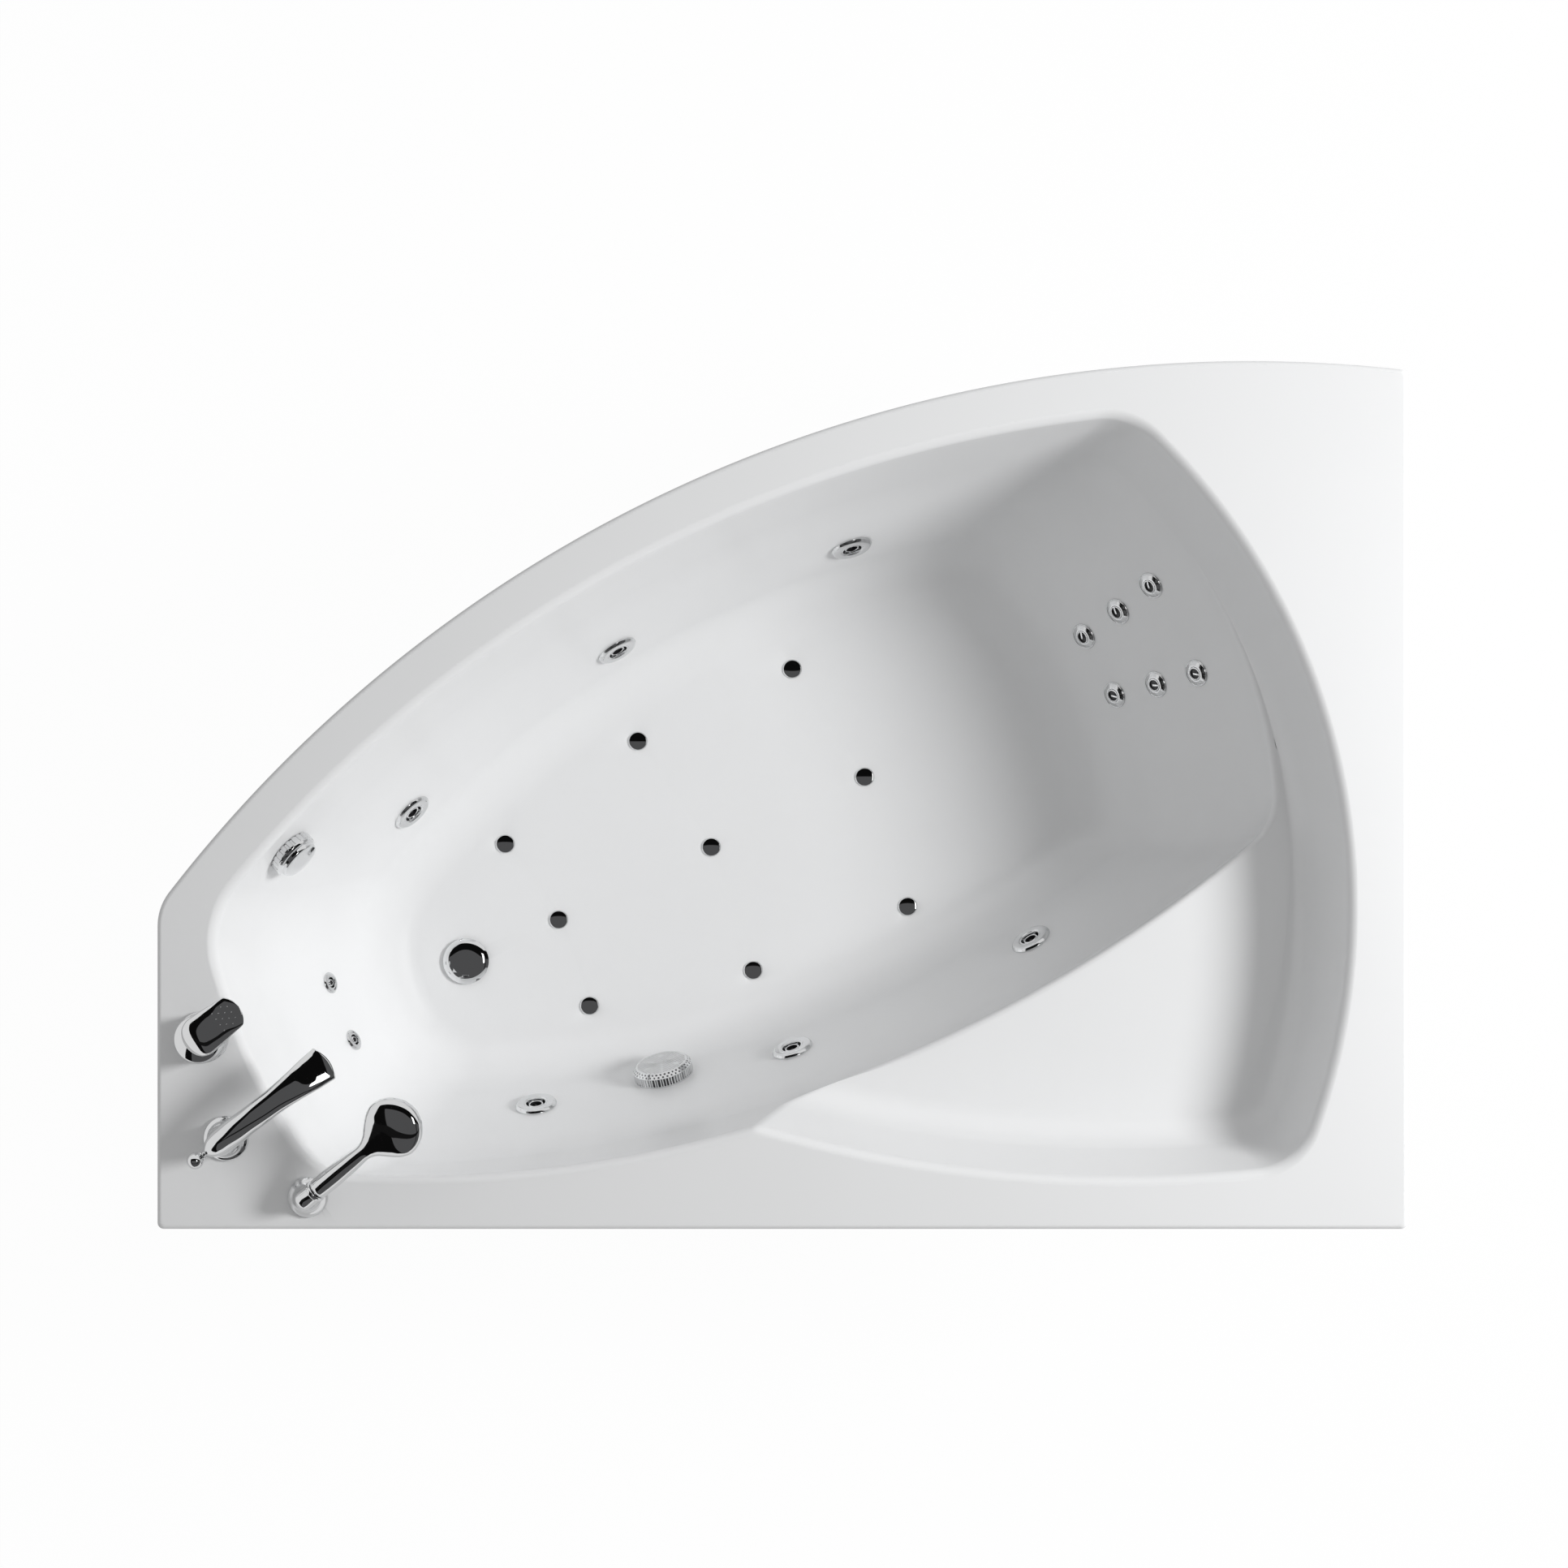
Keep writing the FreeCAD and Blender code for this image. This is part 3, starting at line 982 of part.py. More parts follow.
handle = Part.makeLoft([
    ring_at(S.seat_gap, S.handle_root_radius), ring_at(S.handle_length, S.handle_radius),
], True, True)
plug_part = rod(Vector(-S.handle_plug_length, 0, 0), Vector(S.seat_gap, 0, 0), S.handle_plug_radius)
head_centre = Vector(S.shower_reach, 0, 0)
head = Part.makeCylinder(S.shower_head_radius, S.shower_head_edge, head_centre - UP * S.shower_head_edge)
head = head.fuse(Part.makeCone(S.shower_head_radius, S.shower_head_top_radius, S.shower_head_crown, head_centre))
neck = rod(Vector(S.handle_length, 0, 0), head_centre, S.neck_radius)
solid_node("hand_shower", handle.multiFuse([plug_part, neck, head]), shower_frame)
face = turned("shower_face_turned", [
    ("0", "0 - shower_head_edge"), ("shower_face_radius", "0 - shower_head_edge"),
    ("shower_face_radius", "0 - shower_head_edge - shower_face_thick"), ("0", "0 - shower_head_edge - shower_face_thick"),
])
spread("shower_face", face, [shifted(shower_frame, x=S.shower_reach)])

# Frame of folded channels, posts, battens and levelling feet
posts = [place(share, S.rail_top) for share in post_share]
corner_a, corner_b, corner_c, corner_d, post_e, post_f = posts
rails = [
    (corner_a, corner_b), (corner_b, corner_c), (corner_c, post_f), (post_f, post_e), (post_e, corner_d),
    (corner_d, corner_a), (post_e, Vector(post_e.x, corner_a.y, S.rail_top)), (post_f, Vector(post_f.x, corner_a.y, S.rail_top)),
]
channels = [channel(start, end, S.rail_side, S.rail_wall) for start, end in rails]
frame_solid = fused([pair[0] for pair in channels]).cut(fused([pair[1] for pair in channels]))
foot_spots = [(0, 0.05), (0, 0.95), (1, 0.93), (4, 0.93), (6, 0.08), (7, 0.08)]
foot_frames_below = []
for rail, share in foot_spots:
    start, end = rails[rail]
    spot = start + (end - start) * share
    foot_frames_below.append(frame_at(Vector(spot.x, spot.y, 0), UP))
    block = Part.makeBox(
        S.foot_block_side, S.foot_block_side, S.foot_block_height,
        Vector(-S.foot_block_side / 2, -S.foot_block_side / 2, -S.rail_wall - S.foot_block_height))
    block.Placement = frame_at(spot, UP, end - start)
    frame_solid = frame_solid.fuse(block)
for frame in foot_frames_below:
    drill = Part.makeCylinder(
        S.foot_rod_radius + S.foot_thread_gap, S.foot_block_height + S.overrun,
        Vector(frame.Base.x, frame.Base.y, S.rail_top - S.rail_wall - S.foot_block_height - S.overrun))
    frame_solid = frame_solid.cut(drill)
solid_node("support_frame", frame_solid)
post_outer = cell(
    "post_outer", "Box", FreeCAD.Placement(), Length="post_side", Width="post_side",
    Height="tub_height - shell_wall - rail_top")
post_inner = cell(
    "post_inner", "Box", FreeCAD.Placement(Vector(S.post_wall, S.post_wall, 0), FreeCAD.Rotation()),
    Length="post_side", Width="post_side", Height="tub_height - shell_wall - rail_top")
post = joined("Cut", "angle_post", post_outer, post_inner)
half_post = S.post_side / 2
spread("frame_posts", post, [frame_at(spot - Vector(half_post, half_post, 0), UP) for spot in posts])
batten = cell(
    "batten", "Box", FreeCAD.Placement(), Length="batten_length", Width="batten_width",
    Height="tub_height - basin_depth - shell_wall - rail_top")
batten_frames = []
for share, turn in zip(batten_share, batten_turns):
    turn = math.radians(turn)
    frame = frame_at(place(share, S.rail_top), UP, Vector(math.cos(turn), math.sin(turn), 0))
    batten_frames.append(shifted(frame, x=-S.batten_length / 2, y=-S.batten_width / 2))
spread("floor_battens", batten, batten_frames)
foot_pad = cell("foot_pad", "Prism", FreeCAD.Placement(), Circumradius="foot_pad_radius", Height="foot_pad_thick")
foot_rod = cell("foot_rod", "Cylinder", FreeCAD.Placement(), Radius="foot_rod_radius", Height="foot_rod_top")
foot_nut = cell(
    "foot_nut", "Prism",
    FreeCAD.Placement(Vector(0, 0, S.rail_top - S.rail_side - S.foot_nut_drop - S.foot_nut_thick), FreeCAD.Rotation()),
    Circumradius="foot_nut_radius", Height="foot_nut_thick")
foot = joined("Fuse", "foot", joined("Fuse", "foot_stem", foot_pad, foot_rod), foot_nut)
for index, frame in enumerate(foot_frames_below, 1):
    spread("levelling_foot_%d" % index, foot, [frame])

# Pump, blower and their tray
tray_top = S.rail_top - S.rail_side
pump_start = place(pump_share, S.pump_line)
pump_axis = Vector(1, 0, 0)
wet_end = rod(pump_start, pump_start + pump_axis * S.pump_length, S.pump_radius)
wet_end = wet_end.fuse(rod(pump_start - pump_axis * S.pump_inlet_length, pump_start, S.pump_inlet_radius))
outlet_base = pump_start + pump_axis * (S.pump_length / 2)
outlet_top = outlet_base + UP * (S.pump_radius + S.pump_outlet_length)
wet_end = wet_end.fuse(rod(outlet_base, outlet_top, S.pump_outlet_radius))
wet_end = wet_end.fuse(Part.makeBox(
    S.pump_length, S.saddle_width, S.pump_line - tray_top,
    Vector(pump_start.x, pump_start.y - S.saddle_width / 2, tray_top)))
solid_node("pump_wet_end", wet_end)
motor_start = pump_start + pump_axis * S.pump_length
motor = rod(motor_start, motor_start + pump_axis * S.motor_length, S.motor_radius)
motor = motor.fuse(Part.makeBox(
    S.motor_length / 2, S.saddle_width, S.pump_line - tray_top,
    Vector(motor_start.x, motor_start.y - S.saddle_width / 2, tray_top)))
solid_node("pump_motor", motor)
blower = Part.makeCylinder(S.blower_radius, S.blower_height, blower_base)
blower = blower.fuse(Part.makeCylinder(S.blower_motor_radius, S.blower_motor_height, blower_base + UP * S.blower_height))
port_centre = Vector(blower_base.x, blower_base.y, blower_level)
blower = blower.fuse(rod(Vector(duct_end, blower_base.y, blower_level), port_centre, S.duct_radius))
solid_node("air_blower", blower)
tray_right = corner_b.x + S.rail_side / 2
tray_back = corner_b.y - S.rail_side / 2
tray_left = pump_start.x - S.tray_margin
tray_front = blower_base.y + S.blower_radius + S.tray_margin
tray = Part.makeBox(
    tray_right - tray_left, tray_front - tray_back, S.tray_thick, Vector(tray_left, tray_back, tray_top - S.tray_thick))
foot_hole = Part.makeCylinder(S.tray_hole_radius, S.overrun, foot_frames_below[1].Base + UP * (tray_top - S.overrun / 2))
solid_node("equipment_tray", tray.cut(foot_hole))

# Pipes to and from the pump
barrel_end = suction_frame.multVec(Vector(0, 0, -S.suction_barrel_length))
past_end = suction_frame.multVec(Vector(0, 0, -S.suction_barrel_length - S.suction_bend))
run_y = S.suction_run_inset - half_width
inlet = pump_start - pump_axis * S.pump_inlet_length
solid_node("suction_pipe", fused(tube([
    barrel_end, past_end, Vector(past_end.x + 4 * S.suction_pipe_radius, run_y, S.suction_run_level),
    Vector(inlet.x - 4 * S.suction_pipe_radius, run_y, S.suction_run_level),
    inlet - pump_axis * S.suction_bend, inlet,
], S.suction_pipe_radius, S.suction_collar_radius)))


def tees(frames, barrel_length):
    """Tee barrels behind jets and the points where the pipe meets them."""
    barrels, points = [], []
    for frame in frames:
        near = frame.multVec(Vector(0, 0, -barrel_length))
        far = frame.multVec(Vector(0, 0, -barrel_length - S.water_tee_length))
        barrels.append(rod(near, far, S.water_tee_radius))
        points.append((near + far) * 0.5)
    return barrels, points


side_tees, side_points = tees(side_frames, S.side_barrel_length)
back_tees, back_points = tees(back_frames, S.back_barrel_length)
foot_tees, foot_points = tees(foot_frames, S.foot_barrel_length)
riser = outlet_top + UP * S.water_tee_length
over = (wall_frame("wall", suction_share * half_length, S.suction_depth - 2 * S.suction_barrel_radius))
hop = [
    over.multVec(Vector(-side * 3 * S.suction_barrel_radius, 0, -S.side_barrel_length - S.water_tee_length / 2))
    for side in (1, -1)
]
hop.sort(key=lambda point: -point.x)
left_corner = Vector(foot_points[1].x + S.foot_bend, side_points[5].y, side_points[5].z)
wall_route = [outlet_top, riser, side_points[3], side_points[4], hop[0], hop[1], side_points[5], left_corner,
              foot_points[1], foot_points[0]]
runs = [rod(start, end, S.water_pipe_radius) for start, end in zip(wall_route, wall_route[1:])]
bends = tube([outlet_top, riser, side_points[3]], S.water_pipe_radius, S.water_tee_radius)[2:]
bends += tube([side_points[4], hop[0], hop[1], side_points[5]], S.water_pipe_radius, S.water_tee_radius)[3:]
bends += tube([side_points[5], left_corner, foot_points[1]], S.water_pipe_radius, S.water_tee_radius)[2:]
right_x = back_points[3].x + S.right_bend
right_corner = Vector(right_x, riser.y + S.right_bend, riser.z)
branch_end = riser + (right_corner - riser).normalize() * (2 * S.water_tee_radius)
bends.append(rod(riser, branch_end, S.water_tee_radius))
solid_node("water_pipe_wall", fused(side_tees[3:] + foot_tees + runs + bends))
around = [
    branch_end, right_corner, Vector(right_x, 0, riser.z), back_points[3], back_points[0],
    Vector(back_points[0].x - S.right_bend, back_points[0].y + 2 * S.right_bend, side_points[0].z + S.right_bend),
    Vector(post_f.x, post_f.y - S.right_bend, side_points[0].z), side_points[0], side_points[1], side_points[2],
]
runs = [rod(start, end, S.water_pipe_radius) for start, end in zip(around, around[1:])]
bends = tube(around[:4], S.water_pipe_radius, S.water_tee_radius)[3:]
bends += tube(around[4:8], S.water_pipe_radius, S.water_tee_radius)[3:]
for column in (back_points[:3], back_points[3:]):
    runs += [rod(start, end, S.water_pipe_radius) for start, end in zip(column, column[1:])]
solid_node("water_pipe_front", fused(side_tees[:3] + back_tees + runs + bends))

doc.recompute()
bad = [item.Label for item in doc.Objects if "Invalid" in item.State or "Error" in item.State]
if bad:
    fail("Failed objects: %s" % bad)
for node in nodes:
    if node.Shape.isNull() or not node.Shape.isValid():
        fail("Bad shape: %s" % node.Label)
for node in nodes:
    node.Shape.exportStep("parts/%s.step" % node.Label)
    box = node.Shape.BoundBox
    print(node.Label, len(node.Shape.Solids), [round(v, 1) for v in (box.XMin, box.XMax, box.YMin, box.YMax, box.ZMin, box.ZMax)])
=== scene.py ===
"""Corner jetted bathtub: the visible surfaces, finishes, camera and light around the fixed frame."""

import json
import math

import bmesh
import bpy
import numpy as np
from mathutils.geometry import delaunay_2d_cdt
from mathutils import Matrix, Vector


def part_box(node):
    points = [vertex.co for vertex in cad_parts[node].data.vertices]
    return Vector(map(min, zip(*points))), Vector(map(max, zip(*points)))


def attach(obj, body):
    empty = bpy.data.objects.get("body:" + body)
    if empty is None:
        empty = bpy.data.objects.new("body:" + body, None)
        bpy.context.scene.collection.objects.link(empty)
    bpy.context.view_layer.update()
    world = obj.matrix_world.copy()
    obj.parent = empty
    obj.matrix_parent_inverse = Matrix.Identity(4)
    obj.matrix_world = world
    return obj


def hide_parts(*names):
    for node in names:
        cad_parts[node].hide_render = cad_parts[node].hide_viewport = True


bl_info = {
    "name": "Corner jetted bathtub",
    "version": (1, 0, 0),
    "blender": (4, 5, 0),
    "location": "View3D > Sidebar > Bathtub",
    "description": "Builds the shell, jets, waste, taps and hand shower of a corner bath",
    "category": "Add Mesh",
}

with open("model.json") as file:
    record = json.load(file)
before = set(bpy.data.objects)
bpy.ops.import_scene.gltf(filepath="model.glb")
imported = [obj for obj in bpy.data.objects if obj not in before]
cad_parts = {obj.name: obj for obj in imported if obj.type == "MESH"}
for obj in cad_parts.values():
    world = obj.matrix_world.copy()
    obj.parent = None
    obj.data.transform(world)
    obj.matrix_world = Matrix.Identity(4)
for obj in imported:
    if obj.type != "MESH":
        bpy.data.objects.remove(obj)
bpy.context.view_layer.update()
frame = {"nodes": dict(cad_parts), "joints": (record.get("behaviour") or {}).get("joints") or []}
MM = 0.001
UP = np.array((0.0, 0.0, 1.0))
TUB = "tub"

# The tub in millimetres: half its length and width, the rim's level, and the depths of shelf and floor
HALF_LENGTH, HALF_WIDTH, RIM_LEVEL = 900.0, 625.0, 640.0
SHELF, DEPTH = 135.0, 450.0
FLOOR_LEVEL = RIM_LEVEL - DEPTH

# Depth over which the walls bend below the shelf, and the angle at which two of the sides touch
BLEND = 90.0
TANGENT = math.radians(35)

# How far the shelf's foot moves in for each millimetre by which its circle's radius shrinks
SHELF_REACH = 0.426

# Circle (x, y, radius) of the deck's bowed front, and radii of the seat's side at shelf and floor
BOW = (674.1, -1343.0, 1968.0)
SEAT_TOP, SEAT_FLOOR = 700.0, 576.0

# Radii in millimetres of the holes for the fittings, and how far a hole reaches to each side of the wall
HOLES = {
    "side": 24.0, "back": 15.5, "foot": 12.0, "suction": 30.5, "overflow": 25.5,
    "air": 8.5, "waste": 27.5, "deck": 17.0,
}
HOLE_REACH = 30.0

# Places of the deck's fittings, the way their levers and spouts point, and the turn of each back jet's slot
DECK_PLACES = {"mixer": (-833.4, -348.125), "spout": (-800.1, -493.75), "holder": (-682.2, -578.125)}
TAP_TURN = math.radians(37.0)
ALONG = np.array((math.cos(TAP_TURN), math.sin(TAP_TURN), 0.0))
BACK_TURNS = (160.0, 165.0, 155.0, 65.0, 70.0, 60.0)

# The hand shower's socket: height of its pivot over the deck, and its mouth along its axis
SOCKET_RISE, SOCKET_MOUTH = 30.0, 24.0


# Sizes and colours

def length(name, about, value):
    """Length in metres, as the panel shows it."""
    return bpy.props.FloatProperty(
        name=name, description=about, default=value, min=0.0, subtype="DISTANCE", unit="LENGTH"
    )


def colour(name, about, value):
    """Colour, as the panel shows it."""
    return bpy.props.FloatVectorProperty(
        name=name, description=about, default=value, size=3, subtype="COLOR", min=0.0, max=1.0
    )


class TubShellSizes(bpy.types.PropertyGroup):
    wall: length("Shell thickness", "Thickness of the moulded shell", 0.006)
    lip: length("Lip drop", "How far the deck's edge hangs down", 0.040)
    deck_round: length("Deck edge round", "Rounding of the deck's outer edge", 0.007)
    flare: length("Rim round", "Rounding where the deck turns down into the basin", 0.012)
    seat_round: length("Shelf edge round", "Rounding of the shelf's inner edge", 0.009)
    foot_round: length("Shelf foot round", "Hollow at the foot of the shelf's walls", 0.040)
    floor_round: length("Floor round", "Hollow between the walls and the floor", 0.060)


class TubFittingSizes(bpy.types.PropertyGroup):
    side_trim: length("Side jet radius", "Outer radius of a side jet's trim", 0.032)
    back_trim: length("Back jet radius", "Outer radius of a back jet's ring", 0.021)
    foot_trim: length("Foot jet radius", "Outer radius of a foot jet's ring", 0.0165)
    air_cap: length("Air jet radius", "Radius of an air jet's cap", 0.015)
    grille: length("Suction radius", "Radius of the suction fitting's cover", 0.046)
    plug: length("Plug radius", "Radius of the plug's cap", 0.036)
    knob: length("Overflow radius", "Radius of the overflow's turning knob", 0.036)


class TubTapSizes(bpy.types.PropertyGroup):
    mixer: length("Mixer radius", "Radius of the mixer's foot", 0.0375)
    lever: length("Lever reach", "From the mixer's axis to the lever's tip", 0.083)
    spout: length("Spout reach", "From the spout's axis to its mouth", 0.188)
    holder: length("Holder radius", "Radius of the hand shower's holder", 0.029)
    head: length("Shower head radius", "Radius of the hand shower's head", 0.045)
    head_reach: length("Shower head reach", "From the socket's mouth to the middle of the head", 0.158)


class TubColours(bpy.types.PropertyGroup):
    acrylic: colour("Acrylic", "Colour of the moulded shell", (0.86, 0.865, 0.87))
    chrome: colour("Chrome", "Colour of the plated fittings", (0.78, 0.785, 0.79))
    trim: colour("Jet trim", "Colour of the satin jet trims", (0.76, 0.765, 0.77))
    # Near-black: painted shade inside the pits, holes, slots and jet bores, and the jet barrels' own colour
    dark: colour("Hole shade and jet body", "Near-black painted into pits, holes and jet bores as their shade, and the jet barrels' own colour", (0.018, 0.018, 0.020))
    pipe: colour("Pipe", "Colour of the pressure pipes", (0.70, 0.70, 0.68))
    zinc: colour("Frame", "Colour of the zinc plated frame", (0.42, 0.44, 0.46))
    timber: colour("Batten", "Colour of the floor battens", (0.50, 0.33, 0.18))
    motor: colour("Motor", "Colour of the pump's motor", (0.045, 0.050, 0.055))
    backdrop: colour("Floor", "Colour of the studio floor", (0.90, 0.90, 0.90))


# Finishes

def finish(name, base, metallic=0.0, roughness=0.3, spread=0.1, scale=60.0, bump=0.0, coat=0.0, tint=0.04):
    """Finish whose roughness, tone and fine relief vary with noise read at the object's own coordinates."""
    material = bpy.data.materials.new(name)
    material.use_nodes = True
    tree = material.node_tree
    shader = tree.nodes["Principled BSDF"]
    place = tree.nodes.new("ShaderNodeTexCoord")
    cloud = tree.nodes.new("ShaderNodeTexNoise")
    cloud.inputs["Scale"].default_value = scale
    cloud.inputs["Detail"].default_value = 6.0
    tree.links.new(place.outputs["Object"], cloud.inputs["Vector"])
    rough = tree.nodes.new("ShaderNodeMapRange")
    rough.inputs["To Min"].default_value = max(roughness - spread / 2, 0.0)
    rough.inputs["To Max"].default_value = roughness + spread / 2
    tree.links.new(cloud.outputs["Fac"], rough.inputs["Value"])
    tree.links.new(rough.outputs["Result"], shader.inputs["Roughness"])
    tone = tree.nodes.new("ShaderNodeValToRGB")
    tone.color_ramp.elements[0].position = 0.3
    tone.color_ramp.elements[1].position = 0.7
    tone.color_ramp.elements[0].color = (*[c * (1 - tint) for c in base], 1.0)
    tone.color_ramp.elements[1].color = (*[min(c * (1 + tint), 1.0) for c in base], 1.0)
    tree.links.new(cloud.outputs["Fac"], tone.inputs["Fac"])
    tree.links.new(tone.outputs["Color"], shader.inputs["Base Color"])
    shader.inputs["Metallic"].default_value = metallic
    shader.inputs["Coat Weight"].default_value = coat
    shader.inputs["Coat Roughness"].default_value = 0.05
    if bump:
        grain = tree.nodes.new("ShaderNodeTexNoise")
        grain.inputs["Scale"].default_value = scale * 8
        grain.inputs["Detail"].default_value = 3.0
        relief = tree.nodes.new("ShaderNodeBump")
        relief.inputs["Strength"].default_value = bump
        relief.inputs["Distance"].default_value = 0.0004
        tree.links.new(place.outputs["Object"], grain.inputs["Vector"])
        tree.links.new(grain.outputs["Fac"], relief.inputs["Height"])
        tree.links.new(relief.outputs["Normal"], shader.inputs["Normal"])
    return material


def wood(name, base):
    """Sawn softwood: stretched noise bands for the grain, with a rough matt face."""
    material = finish(name, base, roughness=0.65, spread=0.2, scale=9.0, bump=0.5)
    tree = material.node_tree
    cloud = tree.nodes["Noise Texture"]
    turn = tree.nodes.new("ShaderNodeMapping")
    turn.inputs["Rotation"].default_value = (0, 0, math.radians(-25))
    turn.inputs["Scale"].default_value = (1.0, 14.0, 14.0)
    tree.links.new(tree.nodes["Texture Coordinate"].outputs["Object"], turn.inputs["Vector"])
    tree.links.new(turn.outputs["Vector"], cloud.inputs["Vector"])
    return material


FINISHES = {}


def make_finishes(c):
    """All the finishes, once, from the panel's colours."""
    FINISHES.update({
        "acrylic": finish(
            "gloss_acrylic", c.acrylic, roughness=0.27, spread=0.01, scale=7.0, bump=0.01, tint=0.004
        ),
        "chrome": finish(
            "polished_chrome", c.chrome, metallic=1.0, roughness=0.035, spread=0.02, scale=24.0, tint=0.01
        ),
        "trim": finish(
            "satin_jet_trim", c.trim, metallic=1.0, roughness=0.12, spread=0.05, scale=90.0, tint=0.02
        ),
        # Near-black finish: painted shade inside pits, holes, slots and jet bores, and the jet barrels' own
        # colour
        "dark": finish("black_and_painted_hole_shade", c.dark, roughness=0.35, spread=0.2, coat=0.2, tint=0.3),
        "pipe": finish("pipe_plastic", c.pipe, roughness=0.42, spread=0.12, scale=30.0, bump=0.1),
        "zinc": finish(
            "zinc_plate", c.zinc, metallic=0.85, roughness=0.42, spread=0.25, scale=45.0, bump=0.15,
            tint=0.12
        ),
        "motor": finish(
            "motor_paint", c.motor, roughness=0.38, spread=0.15, scale=80.0, bump=0.3, coat=0.1, tint=0.15
        ),
        "moulding": finish(
            "black_moulding", (0.03, 0.03, 0.032), roughness=0.5, spread=0.15, scale=120.0, bump=0.3,
            tint=0.2
        ),
        "rubber": finish(
            "seal_rubber", (0.02, 0.02, 0.02), roughness=0.75, spread=0.1, scale=150.0, bump=0.3, tint=0.2
        ),
        "copper": finish("tap_tube", (0.55, 0.30, 0.16), metallic=1.0, roughness=0.28, spread=0.2, tint=0.15),
        "timber": wood("sawn_softwood", c.timber),
    })


# Meshes

def grid(points, across=True, along=False):
    """Quads over a grid of points (rows, columns, 3).

    Each joins a point and its neighbour with the two that lie one row on. Across closes each row round, and
    along closes the last row to the first.
    """
    rows, columns = points.shape[:2]
    a = np.arange(rows if along else rows - 1)[:, None]
    b = np.arange(columns if across else columns - 1)[None, :]
    a2, b2 = (a + 1) % rows, (b + 1) % columns
    quads = np.stack([a * columns + b, a * columns + b2, a2 * columns + b2, a2 * columns + b], axis=-1)
    return points.reshape(-1, 3), quads.reshape(-1, 4).tolist()


def joined(pieces):
    """One list of points and faces from several."""
    points, faces, start = [], [], 0
    for piece_points, piece_faces in pieces:
        points.append(piece_points)
        faces += [[i + start for i in face] for face in piece_faces]
        start += len(piece_points)
    return np.concatenate(points), faces


def mesh_piece(name, points, faces, material, body, slot, stands_for=(), sharp=38.0, pitted=None, well=None):
    """Object of millimetre points: doubles merged, faces outwards, smooth below the sharp angle.

    Faces flagged in pitted, or nearer a frame's axis than a well's radius, take the dark finish: near-black
    painted shade in pits, holes and bores.
    """
    mesh = bpy.data.meshes.new(name)
    mesh.from_pydata((points * MM).tolist(), [], faces)
    if well:
        (columns, origin), radius = well
        middle = np.array([points[list(face)].mean(axis=0) for face in faces])
        pitted = np.hypot(*((middle - origin) @ columns)[:, :2].T) < radius
    if pitted is not None:
        mesh.materials.append(FINISHES[material])
        mesh.materials.append(FINISHES["dark"])
        mesh.polygons.foreach_set("material_index", pitted.astype(np.int32))
    work = bmesh.new()
    work.from_mesh(mesh)
    bmesh.ops.remove_doubles(work, verts=work.verts, dist=2e-6)
    bmesh.ops.dissolve_degenerate(work, edges=work.edges, dist=1e-7)
    bmesh.ops.recalc_face_normals(work, faces=work.faces)
    for face in work.faces:
        face.smooth = True
    work.to_mesh(mesh)
    work.free()
    if pitted is None:
        mesh.materials.append(FINISHES[material])
    mesh.set_sharp_from_angle(angle=math.radians(sharp))
    piece = bpy.data.objects.new(name, mesh)
    bpy.context.scene.collection.objects.link(piece)
    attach(piece, body)
    if stands_for:
        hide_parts(*stands_for)
    return piece


def rounded(corners, steps=4, closed=False):
    """Outline of (r, z, setback): each corner with a setback becomes a parabola between its two sides."""
    corners = [tuple(c) + (0.0,) * (3 - len(c)) for c in corners]
    count, out = len(corners), []
    share = np.linspace(0.0, 1.0, steps + 1)[:, None]
    for index, (r, z, setback) in enumerate(corners):
        here = np.array((r, z))
        if setback <= 0 or (not closed and index in (0, count - 1)):
            out.append(here[None, :])
            continue
        before = np.array(corners[index - 1][:2]) - here
        after = np.array(corners[(index + 1) % count][:2]) - here
        first = here + before * min(setback / np.hypot(*before), 0.5)
        last = here + after * min(setback / np.hypot(*after), 0.5)
        out.append(first * (1 - share) ** 2 + 2 * here * share * (1 - share) + last * share ** 2)
    return np.concatenate(out)


def turned(corners, steps=72, closed=True, round_steps=4, reach=None):
    """Outline (r, z) carried once round the axis: x is r times the turn's cosine, y is r times its sine.

    A function reach(angle, r, z) may give the radius another value at each point.
    """
    outline = rounded(corners, round_steps, closed)
    angle = np.linspace(0.0, 2 * np.pi, steps, endpoint=False)[None, :]
    r = np.repeat(outline[:, :1], steps, axis=1)
    z = np.repeat(outline[:, 1:], steps, axis=1)
    if reach:
        r = reach(angle, r, z)
    return grid(np.stack([r * np.cos(angle), r * np.sin(angle), z], axis=-1), True, closed)


def carried(sections):
    """Closed sections joined one after another, both ends closed by a fan to the mean of their points."""
    first, last = sections[0].mean(axis=0), sections[-1].mean(axis=0)
    count = sections.shape[1]
    ends = np.stack([np.repeat(first[None], count, 0), *sections, np.repeat(last[None], count, 0)])
    return grid(ends)


def seated(place, part):
    """A part in local millimetres moved into a frame (rotation columns, origin)."""
    turn, origin = place
    return part[0] @ turn.T + origin, part[1]


def frame_of(origin, axis, across=None):
    """Frame with Z along the axis, X level or as near to across as it can be, and Y square to both."""
    z = np.array(axis, float) / np.linalg.norm(axis)
    x = np.cross(UP, z) if across is None else np.array(across, float)
    x = np.array((1.0, 0.0, 0.0)) if np.linalg.norm(x) < 1e-6 else x
    x = x - z * (x @ z)
    x /= np.linalg.norm(x)
    return np.stack([x, np.cross(z, x), z], axis=1), np.array(origin, float)


def node_points(name):
    """The different points of a solid's mesh, in millimetres."""
    mesh = frame["nodes"][name].data
    flat = np.zeros(len(mesh.vertices) * 3, np.float32)
    mesh.vertices.foreach_get("co", flat)
    return np.unique(np.round(flat.reshape(-1, 3).astype(float) / MM, 3), axis=0)


